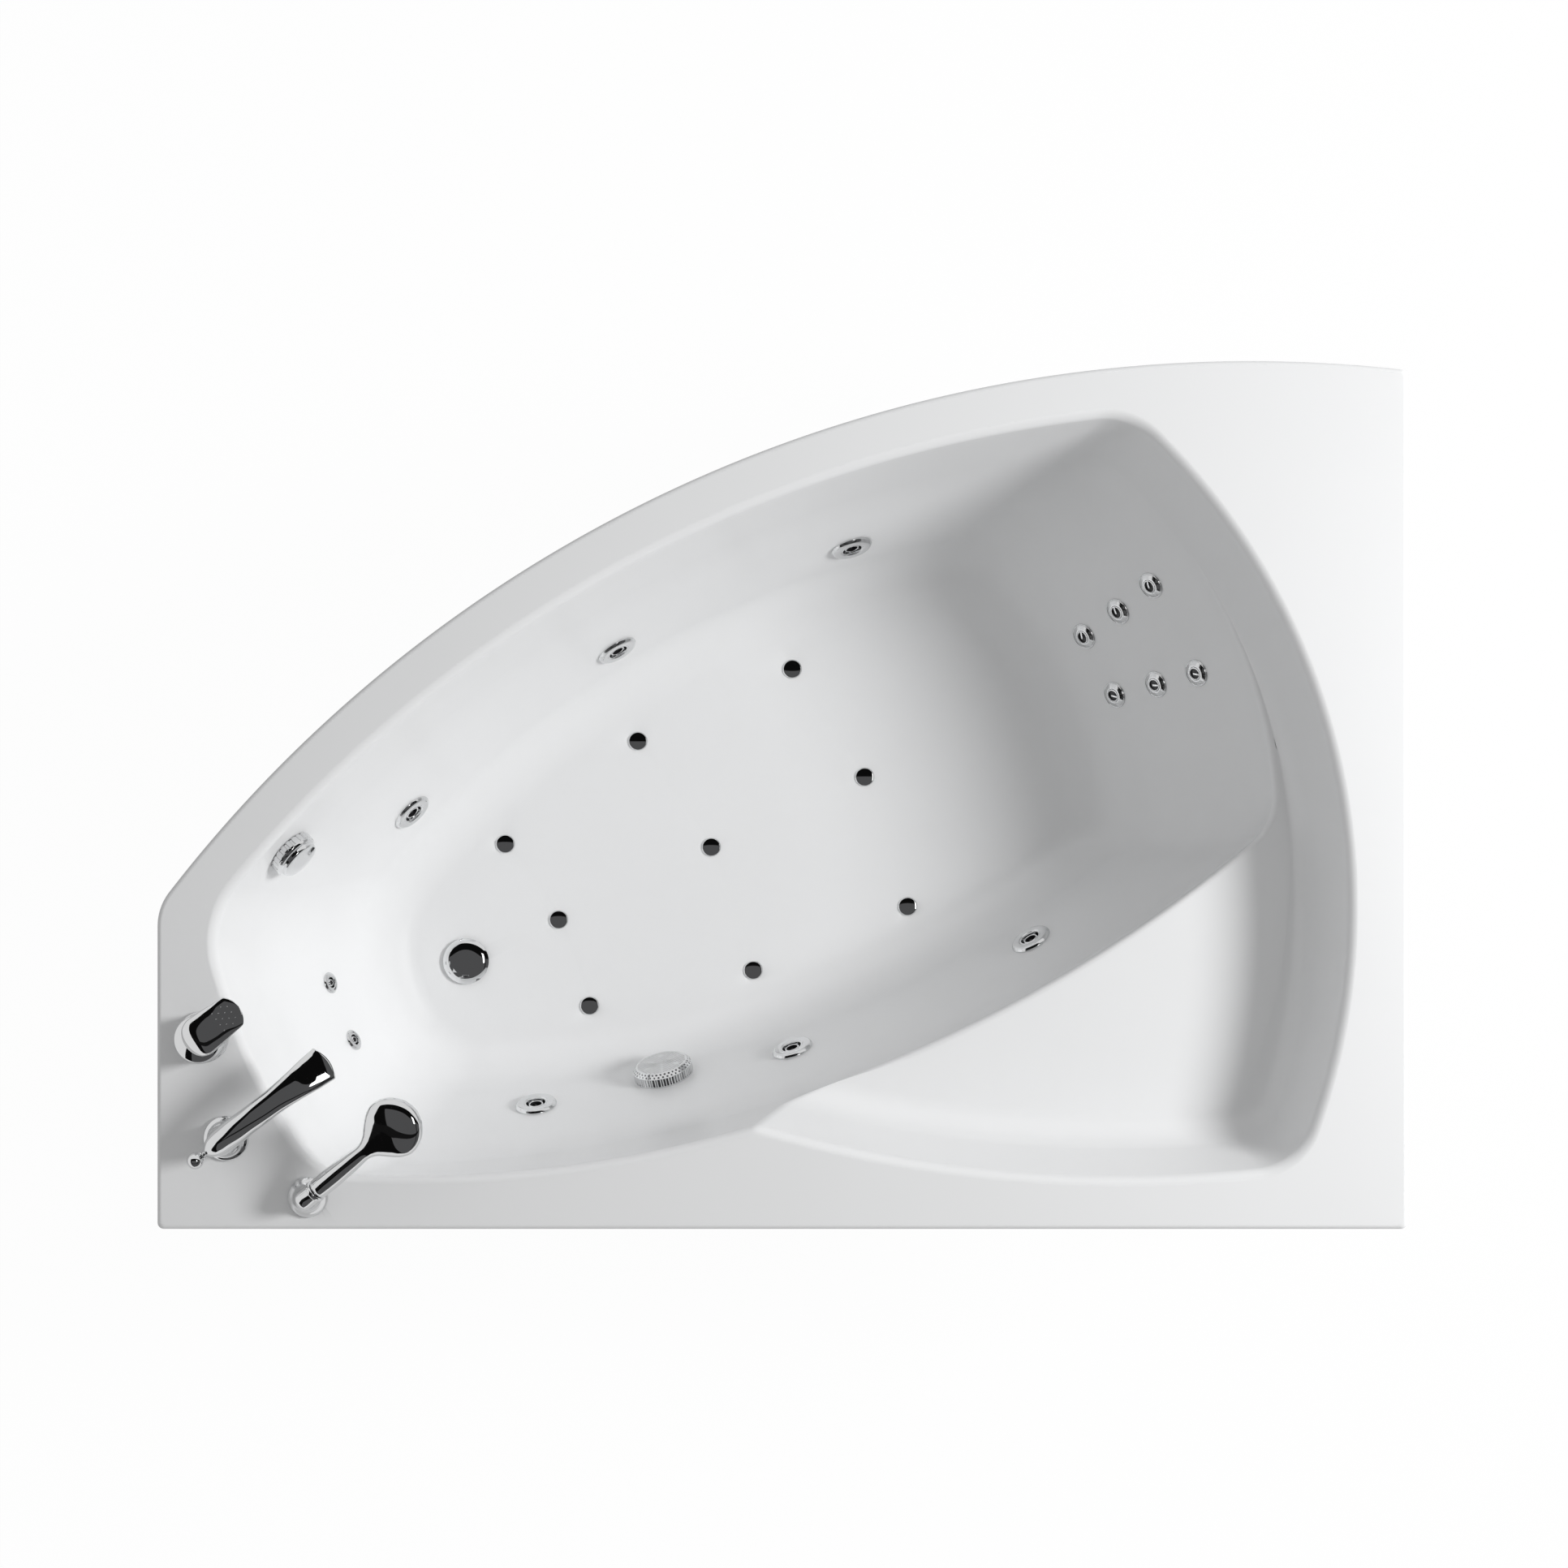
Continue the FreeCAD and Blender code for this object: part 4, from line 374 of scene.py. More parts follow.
def round_frame(name, low, toward=(0.0, 0.0, 700.0)):
    """Frame of a round node, set a distance low under its lowest point along its axis.

    The axis is the direction in which the spread of its points differs from the other two. It points toward
    a place over the middle of the tub.
    """
    points = node_points(name)
    middle = points.mean(axis=0)
    worth, axes = np.linalg.eigh(np.cov((points - middle).T))
    odd = 0 if worth[1] - worth[0] > worth[2] - worth[1] else 2
    axis = axes[:, odd]
    if axis @ (np.array(toward) - middle) < 0:
        axis = -axis
    along = (points - middle) @ axis
    return frame_of(middle + axis * (along.min() - low), axis)


def joint_frame(name):
    """Frame at a joint, with Z along its axis."""
    joint = next(item for item in frame["joints"] if item["name"] == name)
    return frame_of(np.array(joint["pos_m"]) / MM, joint["axis"])


def lifted(place, z):
    """Frame moved along its own Z."""
    return place[0], place[1] + place[0][:, 2] * z


# The basin's plan

def from_front(inset, radius, share):
    """Circle whose edge lies the inset in from the tub's front, its middle at a share of the half size."""
    return np.array((share * HALF_LENGTH, HALF_WIDTH - inset - radius, radius))


def from_back(inset, radius, share):
    """Circle whose edge lies the inset in from the tub's back, its middle at a share of the half size."""
    return np.array((share * HALF_LENGTH, inset + radius - HALF_WIDTH, radius))


def from_left(inset, radius, share):
    """Circle whose edge lies the inset in from the tub's left, its middle at a share of the half size."""
    return np.array((inset + radius - HALF_LENGTH, share * HALF_WIDTH, radius))


def from_right(inset, radius, share):
    """Circle whose edge lies the inset in from the tub's right, its middle at a share of the half size."""
    return np.array((HALF_LENGTH - inset - radius, share * HALF_WIDTH, radius))


def touching(circle, radius):
    """Circle of another radius that shares the first one's point at the tangent angle."""
    gap = circle[2] - radius
    return np.array((circle[0] + gap * math.cos(TANGENT), circle[1] + gap * math.sin(TANGENT), radius))


def basin_sides():
    """Circles (x, y, radius) of the basin's sides at rim, shelf and floor."""
    front = from_front(68, 1900, 0.749), from_front(238, 1385, 0.533)
    left = from_left(48, 1009, 0.050), from_left(243, 566, -0.166)
    seat = from_right(398, SEAT_FLOOR, -0.152)
    return {
        "front": (front[0], front[0] + (front[1] - front[0]) * 0.25, front[1]),
        "left": (left[0], left[0] + (left[1] - left[0]) * 0.15, left[1]),
        "wall": (from_back(76, 1683, -0.586), from_back(77, 2044, -0.689), from_back(193, 1640, -0.580)),
        "right": (from_right(83, 956, -0.259), from_right(134, 905, -0.259), touching(seat, 620)),
        "back": (from_back(73, 1883, 0.542), from_back(118, 1838, 0.542), None),
    }


SIDES = basin_sides()

# Radii of the rounds between the sides at rim, shelf and floor
CORNERS = {
    "left_front": (131, 150, 200), "right_front": (99, 108, 131), "right_back": (90, 70, 70),
    "left_back": (110, 115, 130), "tongue": (30, 30, 30), "seat": (92, 92, 78),
}


def side_at(name, depth):
    """Circle of a side at a depth: straight down to the shelf, then bent over a blend to its lower slope."""
    if name == "seat":
        share = (depth - SHELF) / (DEPTH - SHELF)
        return touching(side_at("right", depth), SEAT_TOP + (SEAT_FLOOR - SEAT_TOP) * share)
    rim, shelf, floor = SIDES[name]
    steep = (shelf - rim) / SHELF
    if depth <= SHELF or floor is None:
        return rim + steep * depth
    below = depth - SHELF
    last = (floor - shelf - steep * BLEND / 2) / (DEPTH - SHELF - BLEND / 2)
    if below < BLEND:
        return shelf + steep * below + (last - steep) * below * below / (2 * BLEND)
    return shelf + last * (below - BLEND / 2) + steep * BLEND / 2


def corner_at(name, depth):
    """Radius of a corner's round at a depth: straight between rim, shelf and floor."""
    rim, shelf, floor = CORNERS[name]
    if depth <= SHELF:
        return rim + (shelf - rim) * depth / SHELF
    return shelf + (floor - shelf) * (depth - SHELF) / (DEPTH - SHELF)


def crossing(first, first_radius, second, second_radius, toward):
    """Crossing of two circles that lies furthest toward a direction."""
    gap = second[:2] - first[:2]
    span = np.hypot(*gap)
    along = (first_radius ** 2 - second_radius ** 2 + span ** 2) / (2 * span)
    foot = first[:2] + gap * along / span
    rise = np.array((-gap[1], gap[0])) / span * math.sqrt(first_radius ** 2 - along ** 2)
    return max((foot + rise, foot - rise), key=lambda p: p @ np.array(toward))


def onto(circle, point, radius):
    """The point moved along its ray from the circle's middle to a radius."""
    gap = point - circle[:2]
    return circle[:2] + gap * radius / np.hypot(*gap)


def arc_points(circle, start, end, count):
    """Points by equal turns from start to end round a circle, the short way, and their outward rays."""
    a = math.atan2(*(start - circle[:2])[::-1])
    b = math.atan2(*(end - circle[:2])[::-1])
    b += 2 * math.pi * round((a - b) / (2 * math.pi))
    angle = np.linspace(a, b, count, endpoint=False)
    ray = np.stack([np.cos(angle), np.sin(angle)], axis=1)
    return circle[:2] + ray * np.hypot(*(start - circle[:2])), ray


def outline(sides, corners, counts):
    """Chain of arcs round a level: each side's arc and then its corner's, with counts of points for each.

    The middle of a corner's arc is the crossing of its two sides after both radii have changed by its own.
    """
    joints = []
    for index, (radius, toward, kind) in enumerate(corners):
        first, second = sides[index], sides[(index + 1) % len(sides)]
        if kind == "tangent":
            point = first[:2] + first[2] * np.array((math.cos(TANGENT), math.sin(TANGENT)))
            joints.append((point, point, None))
            continue
        sign = -1 if kind == "inside" else 1
        centre = crossing(first, first[2] + sign * radius, second, second[2] + sign * radius, toward)
        joints.append(
            (onto(first, centre, first[2]), onto(second, centre, second[2]), np.array((*centre, radius)))
        )
    chains = []
    for index, side in enumerate(sides):
        side_count, corner_count = counts[index]
        start, end = joints[index - 1][1], joints[index][0]
        chains.append(arc_points(side, start, end, side_count))
        if joints[index][2] is not None:
            chains.append(arc_points(joints[index][2], joints[index][0], joints[index][1], corner_count))
    return chains, joints


def grown(circle, growth):
    """The circle with a larger radius."""
    return np.array((circle[0], circle[1], circle[2] + growth))


# Counts of points along each side and corner
ROUND = {
    "left": 64, "left_back": 26, "wall": 110, "right": 30, "right_front": 34, "front": 200,
    "left_front": 40
}
SHELF_ROUND = {"tongue": 14, "back": 90, "right_back": 26, "low": 96}
SEAT_ROUND = {"wall": 110, "seat_corner": 22, "seat": 74}


def upper_level(depth, growth, foot):
    """Outline of the whole basin between rim and shelf: the sides' circles at the depth, joined by rounds.

    The growth widens every circle, and the foot draws the shelf's own walls in.
    """
    left, wall, back, right, front = [
        grown(side_at(n, depth), growth) for n in ("left", "wall", "back", "right", "front")
    ]
    back, low = grown(back, -foot), touching(right, right[2] - foot / SHELF_REACH)
    corners = [
        (corner_at("left_back", depth) + growth, (-1, -1), "inside"),
        (corner_at("tongue", depth) - growth, (0, -1), "outside"),
        (corner_at("right_back", depth) + growth, (1, -1), "inside"), (0, None, "tangent"),
        (corner_at("right_front", depth) + growth, (1, 1), "inside"),
        (corner_at("left_front", depth) + growth, (-1, 1), "inside"),
    ]
    counts = [
        (ROUND["left"], ROUND["left_back"]), (ROUND["wall"], SHELF_ROUND["tongue"]),
        (SHELF_ROUND["back"], SHELF_ROUND["right_back"]),
        (SHELF_ROUND["low"], 0), (ROUND["right"], ROUND["right_front"]),
        (ROUND["front"], ROUND["left_front"]),
    ]
    chains, joints = outline([left, wall, back, low, right, front], corners, counts)
    return np.concatenate([c[0] for c in chains]), joints


def lower_level(depth, growth, split_angle, edge):
    """Outline of the deep basin: the sides' circles at the depth, joined by rounds.

    The edge pushes the shelf's side outwards along its rays. It fades in over the first tenth of that side,
    and out over its last 16 hundredths, by the square of the fade times three less twice the fade.
    """
    left, wall, seat, right, front = [
        grown(side_at(n, depth), growth) for n in ("left", "wall", "seat", "right", "front")
    ]
    corners = [
        (corner_at("left_back", depth) + growth, (-1, -1), "inside"),
        (corner_at("seat", depth) + growth, (1, -1), "inside"),
        (0, None, "tangent"), (corner_at("right_front", depth) + growth, (1, 1), "inside"),
        (corner_at("left_front", depth) + growth, (-1, 1), "inside"),
    ]
    counts = [
        (ROUND["left"], ROUND["left_back"]), (2, SEAT_ROUND["seat_corner"]), (SEAT_ROUND["seat"], 0),
        (ROUND["right"], ROUND["right_front"]), (ROUND["front"], ROUND["left_front"]),
    ]
    chains, joints = outline([left, wall, seat, right, front], corners, counts)
    split = wall[:2] + wall[2] * np.array((math.cos(split_angle), math.sin(split_angle)))
    near = arc_points(wall, joints[0][1], split, ROUND["wall"])
    far = arc_points(wall, split, joints[1][0], SEAT_ROUND["wall"])
    shelf_side = [far, chains[3], chains[4]]
    points = np.concatenate([c[0] for c in shelf_side])
    rays = np.concatenate([c[1] for c in shelf_side])
    share = np.linspace(0.0, 1.0, len(points), endpoint=False)
    fade_in, fade_out = 0.10, 0.16
    fade = np.clip(share / fade_in, 0, 1) * np.clip((1 - share) / fade_out, 0, 1)
    points = points + rays * (edge * fade * fade * (3 - 2 * fade))[:, None]
    return np.concatenate([chains[0][0], chains[1][0], near[0], points, *[c[0] for c in chains[5:]]])


def raised(points, level):
    """Plan points set at a level."""
    return np.column_stack([points, np.full(len(points), level)])


def filled(loops, level):
    """Flat triangles between closed loops.

    A triangle is kept where a ray from its middle crosses an odd number of the loops' edges.
    """
    points = np.concatenate(loops)
    edges, start = [], 0
    for loop in loops:
        ring = np.arange(len(loop))
        edges += np.stack([ring + start, (ring + 1) % len(loop) + start], axis=1).tolist()
        start += len(loop)
    flat, _, faces, *_ = delaunay_2d_cdt(points.tolist(), edges, [], 1, 1e-6)
    flat, faces = np.array([tuple(p) for p in flat]), np.array([tuple(face) for face in faces])
    x, y = flat[faces].mean(axis=1).T[..., None]
    (ax, ay), (bx, by) = points[np.array(edges)].transpose(1, 2, 0)
    crossed = ((ay > y) != (by > y)) & (x < ax + (bx - ax) * (y - ay) / np.where(by == ay, 1.0, by - ay))
    return raised(flat, level), faces[crossed.sum(axis=1) % 2 == 1].tolist()


def deck_loop(inset):
    """Tub's plan drawn in by the inset: three straight sides, the bow, and a round at each corner."""
    bow = np.array((BOW[0], BOW[1], BOW[2] - inset))
    left, right, back = inset - HALF_LENGTH, HALF_LENGTH - inset, inset - HALF_WIDTH
    # Radii of the rounds at the corners: large at the front left, and small at the three others
    small, large = 9.0 - inset * 0.6, 80.0 - inset

    def beside(x, side, radius):
        """Centre of a round that touches the upright side and the bow."""
        cx = x + side * radius
        return np.array((cx, bow[1] + math.sqrt((bow[2] - radius) ** 2 - (cx - bow[0]) ** 2), radius))

    first, last = beside(left, 1, large), beside(right, -1, small)
    low_left, low_right = np.array((left + small, back + small, small)), np.array(
        (right - small, back + small, small)
    )
    pieces = [
        np.linspace((left, first[1]), (left, low_left[1]), 60, endpoint=False),
        arc_points(low_left, np.array((left, low_left[1])), np.array((low_left[0], back)), 8)[0],
        np.linspace((low_left[0], back), (low_right[0], back), 150, endpoint=False),
        arc_points(low_right, np.array((low_right[0], back)), np.array((right, low_right[1])), 8)[0],
        np.linspace((right, low_right[1]), (right, last[1]), 100, endpoint=False),
        arc_points(last, np.array((right, last[1])), onto(bow, last[:2], bow[2]), 8)[0],
        arc_points(bow, onto(bow, last[:2], bow[2]), onto(bow, first[:2], bow[2]), 220)[0],
        arc_points(first, onto(bow, first[:2], bow[2]), np.array((left, first[1])), 20)[0],
    ]
    return np.concatenate(pieces)


def ring_loop(centre, radius, count=40):
    """Points by equal turns round a circle."""
    angle = np.linspace(0, 2 * np.pi, count, endpoint=False)
    return np.stack([centre[0] + radius * np.cos(angle), centre[1] + radius * np.sin(angle)], axis=1)


def opened(points, faces, holes):
    """Quads whose middle lies in a hole left out, and the points round them drawn onto the hole's circle."""
    faces = np.array(faces)
    for (turn, origin), radius in holes:
        local = (points - origin) @ turn
        middle = local[faces].mean(axis=1)
        inside = (np.hypot(middle[:, 0], middle[:, 1]) < radius) & (np.abs(middle[:, 2]) < HOLE_REACH)
        edge = np.intersect1d(faces[inside], faces[~inside])
        flat = np.hypot(local[edge, 0], local[edge, 1])
        local[edge, :2] *= (radius / flat)[:, None]
        points[edge] = local[edge] @ turn.T + origin
        faces = faces[~inside]
    return points, faces.tolist()


# Operators

class OBJECT_OT_tub_shell(bpy.types.Operator):
    """Moulded shell: deck with its lip, walls, shelf and floor as one skin with its thickness"""
    bl_idname = "object.tub_shell"
    bl_label = "Tub shell"

    def execute(self, context):
        s = context.scene.tub_shell_sizes
        flare, foot, floor_round = s.flare / MM, s.foot_round / MM, s.floor_round / MM
        edge, deck_round, lip = s.seat_round / MM, s.deck_round / MM, s.lip / MM
        # The rim's round is a quarter circle, and the walls end in the quarter circle of the shelf's foot
        quarter = np.radians(np.linspace(0, 90, 7))
        upper = []
        for a in quarter:
            depth = flare * (1 - math.cos(a))
            upper.append(raised(upper_level(depth, flare * (1 - math.sin(a)), 0.0)[0], RIM_LEVEL - depth))
        foot_start = SHELF - foot
        for depth in np.linspace(flare, foot_start, 9)[1:]:
            upper.append(raised(upper_level(depth, 0.0, 0.0)[0], RIM_LEVEL - depth))
        for a in np.radians(np.linspace(0, 90, 11))[1:]:
            depth = foot_start + foot * math.sin(a)
            upper.append(raised(upper_level(depth, 0.0, foot * (1 - math.cos(a)))[0], RIM_LEVEL - depth))
        # The deep basin starts where the shelf meets the wall side, with the quarter circle of its edge
        shelf_points, joints = upper_level(SHELF, 0.0, foot)
        wall = side_at("wall", SHELF)
        split_angle = math.atan2(*(joints[1][0] - wall[:2])[::-1])
        lower = []
        for a in np.radians(np.linspace(0, 90, 6)):
            depth = SHELF + edge * (1 - math.cos(a))
            lower.append(
                raised(lower_level(depth, 0.0, split_angle, edge * (1 - math.sin(a))), RIM_LEVEL - depth)
            )
        # Its walls go down to the quarter circle that runs out into the floor
        floor_start = DEPTH - floor_round
        for depth in np.linspace(SHELF + edge, floor_start, 30)[1:]:
            lower.append(raised(lower_level(depth, 0.0, split_angle, 0.0), RIM_LEVEL - depth))
        for a in np.radians(np.linspace(0, 90, 11))[1:]:
            depth = floor_start + floor_round * math.sin(a)
            growth = floor_round * math.cos(a) - floor_round
            lower.append(raised(lower_level(depth, growth, split_angle, 0.0), RIM_LEVEL - depth))
        # Shelf, floor and deck are flat faces between outlines, less their holes, and a skirt hangs round
        start = ROUND["left"] + ROUND["left_back"] + ROUND["wall"]
        shelf_side = shelf_points[start:start + sum(SHELF_ROUND.values()) + 1]
        seat_side = lower[0][start:start + sum(SEAT_ROUND.values()) + 1, :2]
        shelf = filled([np.concatenate([shelf_side, seat_side[1:-1][::-1]])], RIM_LEVEL - SHELF)
        drilled = [ring_loop(f[1], r) for f, r in floor_holes()]
        floor = filled([lower[-1][:, :2], *drilled], FLOOR_LEVEL)
        skirt = [raised(deck_loop(0.0), RIM_LEVEL - lip), raised(deck_loop(0.0), RIM_LEVEL - lip / 2)]
        for a in quarter:
            inset, drop = deck_round * (1 - math.cos(a)), deck_round * (1 - math.sin(a))
            skirt.append(raised(deck_loop(inset), RIM_LEVEL - drop))
        deck_holes = [ring_loop(place, HOLES["deck"]) for place in DECK_PLACES.values()]
        deck = filled([skirt[-1][:, :2], upper[0][:, :2], *deck_holes], RIM_LEVEL)
        holes = wall_holes()
        walls = joined([opened(*grid(np.stack(rows)), holes) for rows in (upper, lower)])
        points, faces = joined([grid(np.stack(skirt)), deck, walls, shelf, floor])
        piece = mesh_piece(
            "moulded_shell", points, faces, "acrylic", TUB, "white_acrylic", ("tub_shell",), sharp=60
        )
        if sum(face.normal.z * face.area for face in piece.data.polygons) < 0:
            piece.data.flip_normals()
        thick = piece.modifiers.new("Thickness", "SOLIDIFY")
        thick.thickness, thick.offset, thick.use_even_offset = s.wall, -1.0, True
        weigh = piece.modifiers.new("Flat faces lead", "WEIGHTED_NORMAL")
        weigh.keep_sharp = True
        return {"FINISHED"}


def side_frames():
    """Frames on the wall at the side jets: each nozzle's back lies 13 mm behind it."""
    return [round_frame("side_jet_nozzle_%d" % i, -13.0) for i in range(1, 7)]


def back_frames():
    """Frames at the back jets' joints."""
    return [joint_frame("back_jet_spin_%d" % i) for i in range(1, 7)]


def foot_frames():
    """Frames on the wall at the foot jets: each nozzle's back lies 8.5 mm behind it."""
    return [round_frame("foot_jet_nozzle_%d" % i, -8.5) for i in (1, 2)]


def air_frames():
    """Frames of the air jets, from the groups of points in their node that stand over the floor."""
    over, apart = 2.5, 40.0
    points = node_points("air_jets")
    top = points[points[:, 2] > FLOOR_LEVEL + over]
    seeds = []
    for point in top:
        if all(np.hypot(*(point[:2] - seed[:2])) > apart for seed in seeds):
            seeds.append(point)
    near = [top[np.hypot(top[:, 0] - s[0], top[:, 1] - s[1]) < apart] for s in seeds]
    return [frame_of((*((g[:, :2].min(0) + g[:, :2].max(0)) / 2), FLOOR_LEVEL), UP) for g in near]


def waste_frame():
    """Frame on the floor at the middle of the plug."""
    low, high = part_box("waste_plug")
    return frame_of(((low.x + high.x) / 2 / MM, (low.y + high.y) / 2 / MM, FLOOR_LEVEL), UP)


def floor_holes():
    """Frames and radii of the floor's holes."""
    return [(place, HOLES["air"]) for place in air_frames()] + [(waste_frame(), HOLES["waste"])]


def wall_holes():
    """Frames and radii of the walls' holes."""
    holes = [(place, HOLES["side"]) for place in side_frames()]
    holes += [(place, HOLES["back"]) for place in back_frames()]
    holes += [(place, HOLES["foot"]) for place in foot_frames()]
    holes.append((round_frame("suction_grille", 0.9), HOLES["suction"]))
    holes.append((joint_frame("overflow_knob_turn"), HOLES["overflow"]))
    return holes


def spun(points, degrees):
    """Points turned about the local axis."""
    c, s = math.cos(math.radians(degrees)), math.sin(math.radians(degrees))
    return points @ np.array(((c, s, 0), (-s, c, 0), (0, 0, 1.0)))


class OBJECT_OT_tub_side_jets(bpy.types.Operator):
    """Six side jets: a bevelled trim, and a tilting ball nozzle with a vaned bore"""
    bl_idname = "object.tub_side_jets"
    bl_label = "Side jets"

    def execute(self, context):
        r = context.scene.tub_fitting_sizes.side_trim / MM
        trim = turned([
            (r, -1.0), (r, 2.2, 0.8), (r - 2.6, 5.9, 1.3), (r - 5.0, 6.9, 1.2), (18.4, 6.1, 0.9),
            (17.2, 4.6, 0.5), (15.6, 4.6, 0.5),
            (14.7, 5.2, 0.3), (14.7, -1.0),
        ], 96)
        nozzle = joined([
            turned(
                [
                    (8.6, -6.3), (8.6, 9.4, 0.3), (9.6, 10.4, 0.5), (11.0, 9.6, 0.8), (14.1, 2.5, 3.5),
                    (14.1, -3.5, 2.0), (12.9, -6.3)
                ],
                64
            ),
            turned([(0, 2.0), (2.4, 2.0, 0.5), (2.4, 7.0, 1.2), (0, 8.2)], 24, False),
            *[bar((2.0, 8.9), 0.55, (2.0, 6.0), 90 * k + 20) for k in range(4)],
        ])
        # Faces nearer the axis than this radius, the bore and its vanes, are painted near-black as the bore's
        # shade
        sink, painted_shade_radius = 6.5, 8.8
        places = side_frames()
        mesh_piece(
            "side_jet_trims", *joined([seated(p, trim) for p in places]), "trim", TUB, "satin_grey",
            ("side_jet_rings",)
        )
        for index, place in enumerate(places, 1):
            name = "side_jet_nozzle_%d" % index
            ball = seated(lifted(place, -sink), nozzle)
            mesh_piece(
                "side_jet_ball_%d" % index, *ball, "chrome", name, "grey_plastic", (name,),
                well=(place, painted_shade_radius)
            )
        return {"FINISHED"}


def bar(span, half, levels, turn):
    """Flat bar from one radius to another, standing between two levels, turned about the axis."""
    x, z = np.array(span), np.array(levels)
    outline_y = np.array((-half, half, half, -half))
    outline_z = np.array((z[0], z[0], z[1], z[1]))
    sections = np.stack([np.stack([np.full(4, at), outline_y, outline_z], axis=1) for at in x])
    points, faces = carried(sections)
    return spun(points, turn), faces


class OBJECT_OT_tub_back_jets(bpy.types.Operator):
    """Six back jets: a domed ring, and a spinning cap that is a turned parabola with a pit round a tongue"""
    bl_idname = "object.tub_back_jets"
    bl_label = "Back jets"

    def execute(self, context):
        r = context.scene.tub_fitting_sizes.back_trim / MM
        ring = turned([
            (r, -1.0), (r, 1.1, 0.5), (r - 1.0, 2.0, 0.4), (r - 1.8, 1.4, 0.3), (r - 2.3, 2.3, 0.5),
            (12.6, 4.9, 1.5), (10.7, 4.9, 0.3), (10.7, -1.0),
        ], 72)
        # The cap's height is its crown, less a fall with the radius squared, less the pit and its bevel
        cap_radius, crown, fall, slot_depth = 10.2, 6.3, 1.1, 2.4
        slot_radius, squash, bevel = 8.9, 1.12, 0.4
        tongue_half, tongue_start = 1.35, -2.2
        angle = np.linspace(0, 2 * np.pi, 144, endpoint=False)[None, :]
        radius = np.linspace(0, cap_radius, 48)[:, None] * np.ones_like(angle)
        x, y = radius * np.cos(angle), radius * np.sin(angle)
        tongue = (np.abs(y) < tongue_half) & (x > tongue_start)
        pit = np.clip((slot_radius - np.hypot(x, y * squash)) / bevel, 0, 1) * ~tongue
        dome = crown - fall * (radius / cap_radius) ** 2 - slot_depth * pit
        skirt_r = np.array((cap_radius + 0.05, 5.6, 5.6))[:, None] * np.ones_like(angle)
        skirt_z = np.array((3.6, -1.9, -2.0))[:, None] * np.ones_like(angle)
        rr, zz = np.concatenate([radius, skirt_r]), np.concatenate([dome, skirt_z])
        cap = grid(np.stack([rr * np.cos(angle), rr * np.sin(angle), zz], axis=-1))
        # Faces of the pit take the near-black finish as painted shade of the outlet opening
        dark = np.concatenate([pit, 0 * skirt_r]).reshape(-1)[np.array(cap[1])].mean(axis=1) > 0.5
        under = turned(
            [(0, -16), (2.95, -16, 0.4), (2.95, -2.0), (5.6, -2.0), (5.6, -1.8), (0, -1.8)], 144, False
        )
        head = joined([cap, under])
        dark = np.concatenate([dark, np.zeros(len(under[1]), bool)])
        places = back_frames()
        mesh_piece(
            "back_jet_domes", *joined([seated(p, ring) for p in places]), "trim", TUB, "satin_grey",
            ("back_jet_rings",)
        )
        for index, (place, turn) in enumerate(zip(places, BACK_TURNS), 1):
            points = spun(head[0], turn)
            name = "back_jet_rotor_%d" % index
            mesh_piece(
                "back_jet_rotor_cap_%d" % index, *seated(place, (points, head[1])), "trim", name,
                "grey_plastic", (name,), pitted=dark
            )
        return {"FINISHED"}


class OBJECT_OT_tub_foot_jets(bpy.types.Operator):
    """Two foot jets: a small domed ring and a ball with a cross in its bore"""
    bl_idname = "object.tub_foot_jets"
    bl_label = "Foot jets"

    def execute(self, context):
        r = context.scene.tub_fitting_sizes.foot_trim / MM
        ring = turned(
            [(r, -0.8), (r, 1.5, 0.6), (r - 2.6, 3.7, 1.0), (9.6, 4.3, 0.7), (8.2, 3.4, 0.5), (8.2, -0.8)],
            64
        )
        ball = joined([
            turned(
                [
                    (3.5, -4.3), (3.5, 6.6, 0.3), (4.4, 7.2, 0.4), (5.9, 5.6, 0.8), (7.6, 1.2, 1.5),
                    (7.6, -2.4, 1.2), (6.6, -4.3)
                ],
                48
            ),
            *[bar((-3.6, 3.6), 0.45, (3.4, 6.4), 90 * k + 45) for k in range(2)],
        ])
        # Faces nearer the axis than this radius, the bore and its cross, are painted near-black as the bore's
        # shade
        sink, painted_shade_radius = 4.0, 3.6
        places = foot_frames()
        mesh_piece(
            "foot_jet_domes", *joined([seated(p, ring) for p in places]), "trim", TUB, "satin_grey",
            ("foot_jet_rings",)
        )
        for index, place in enumerate(places, 1):
            name = "foot_jet_nozzle_%d" % index
            part = seated(lifted(place, -sink), ball)
            mesh_piece(
                "foot_jet_ball_%d" % index, *part, "chrome", name, "grey_plastic", (name,),
                well=(place, painted_shade_radius)
            )
        return {"FINISHED"}


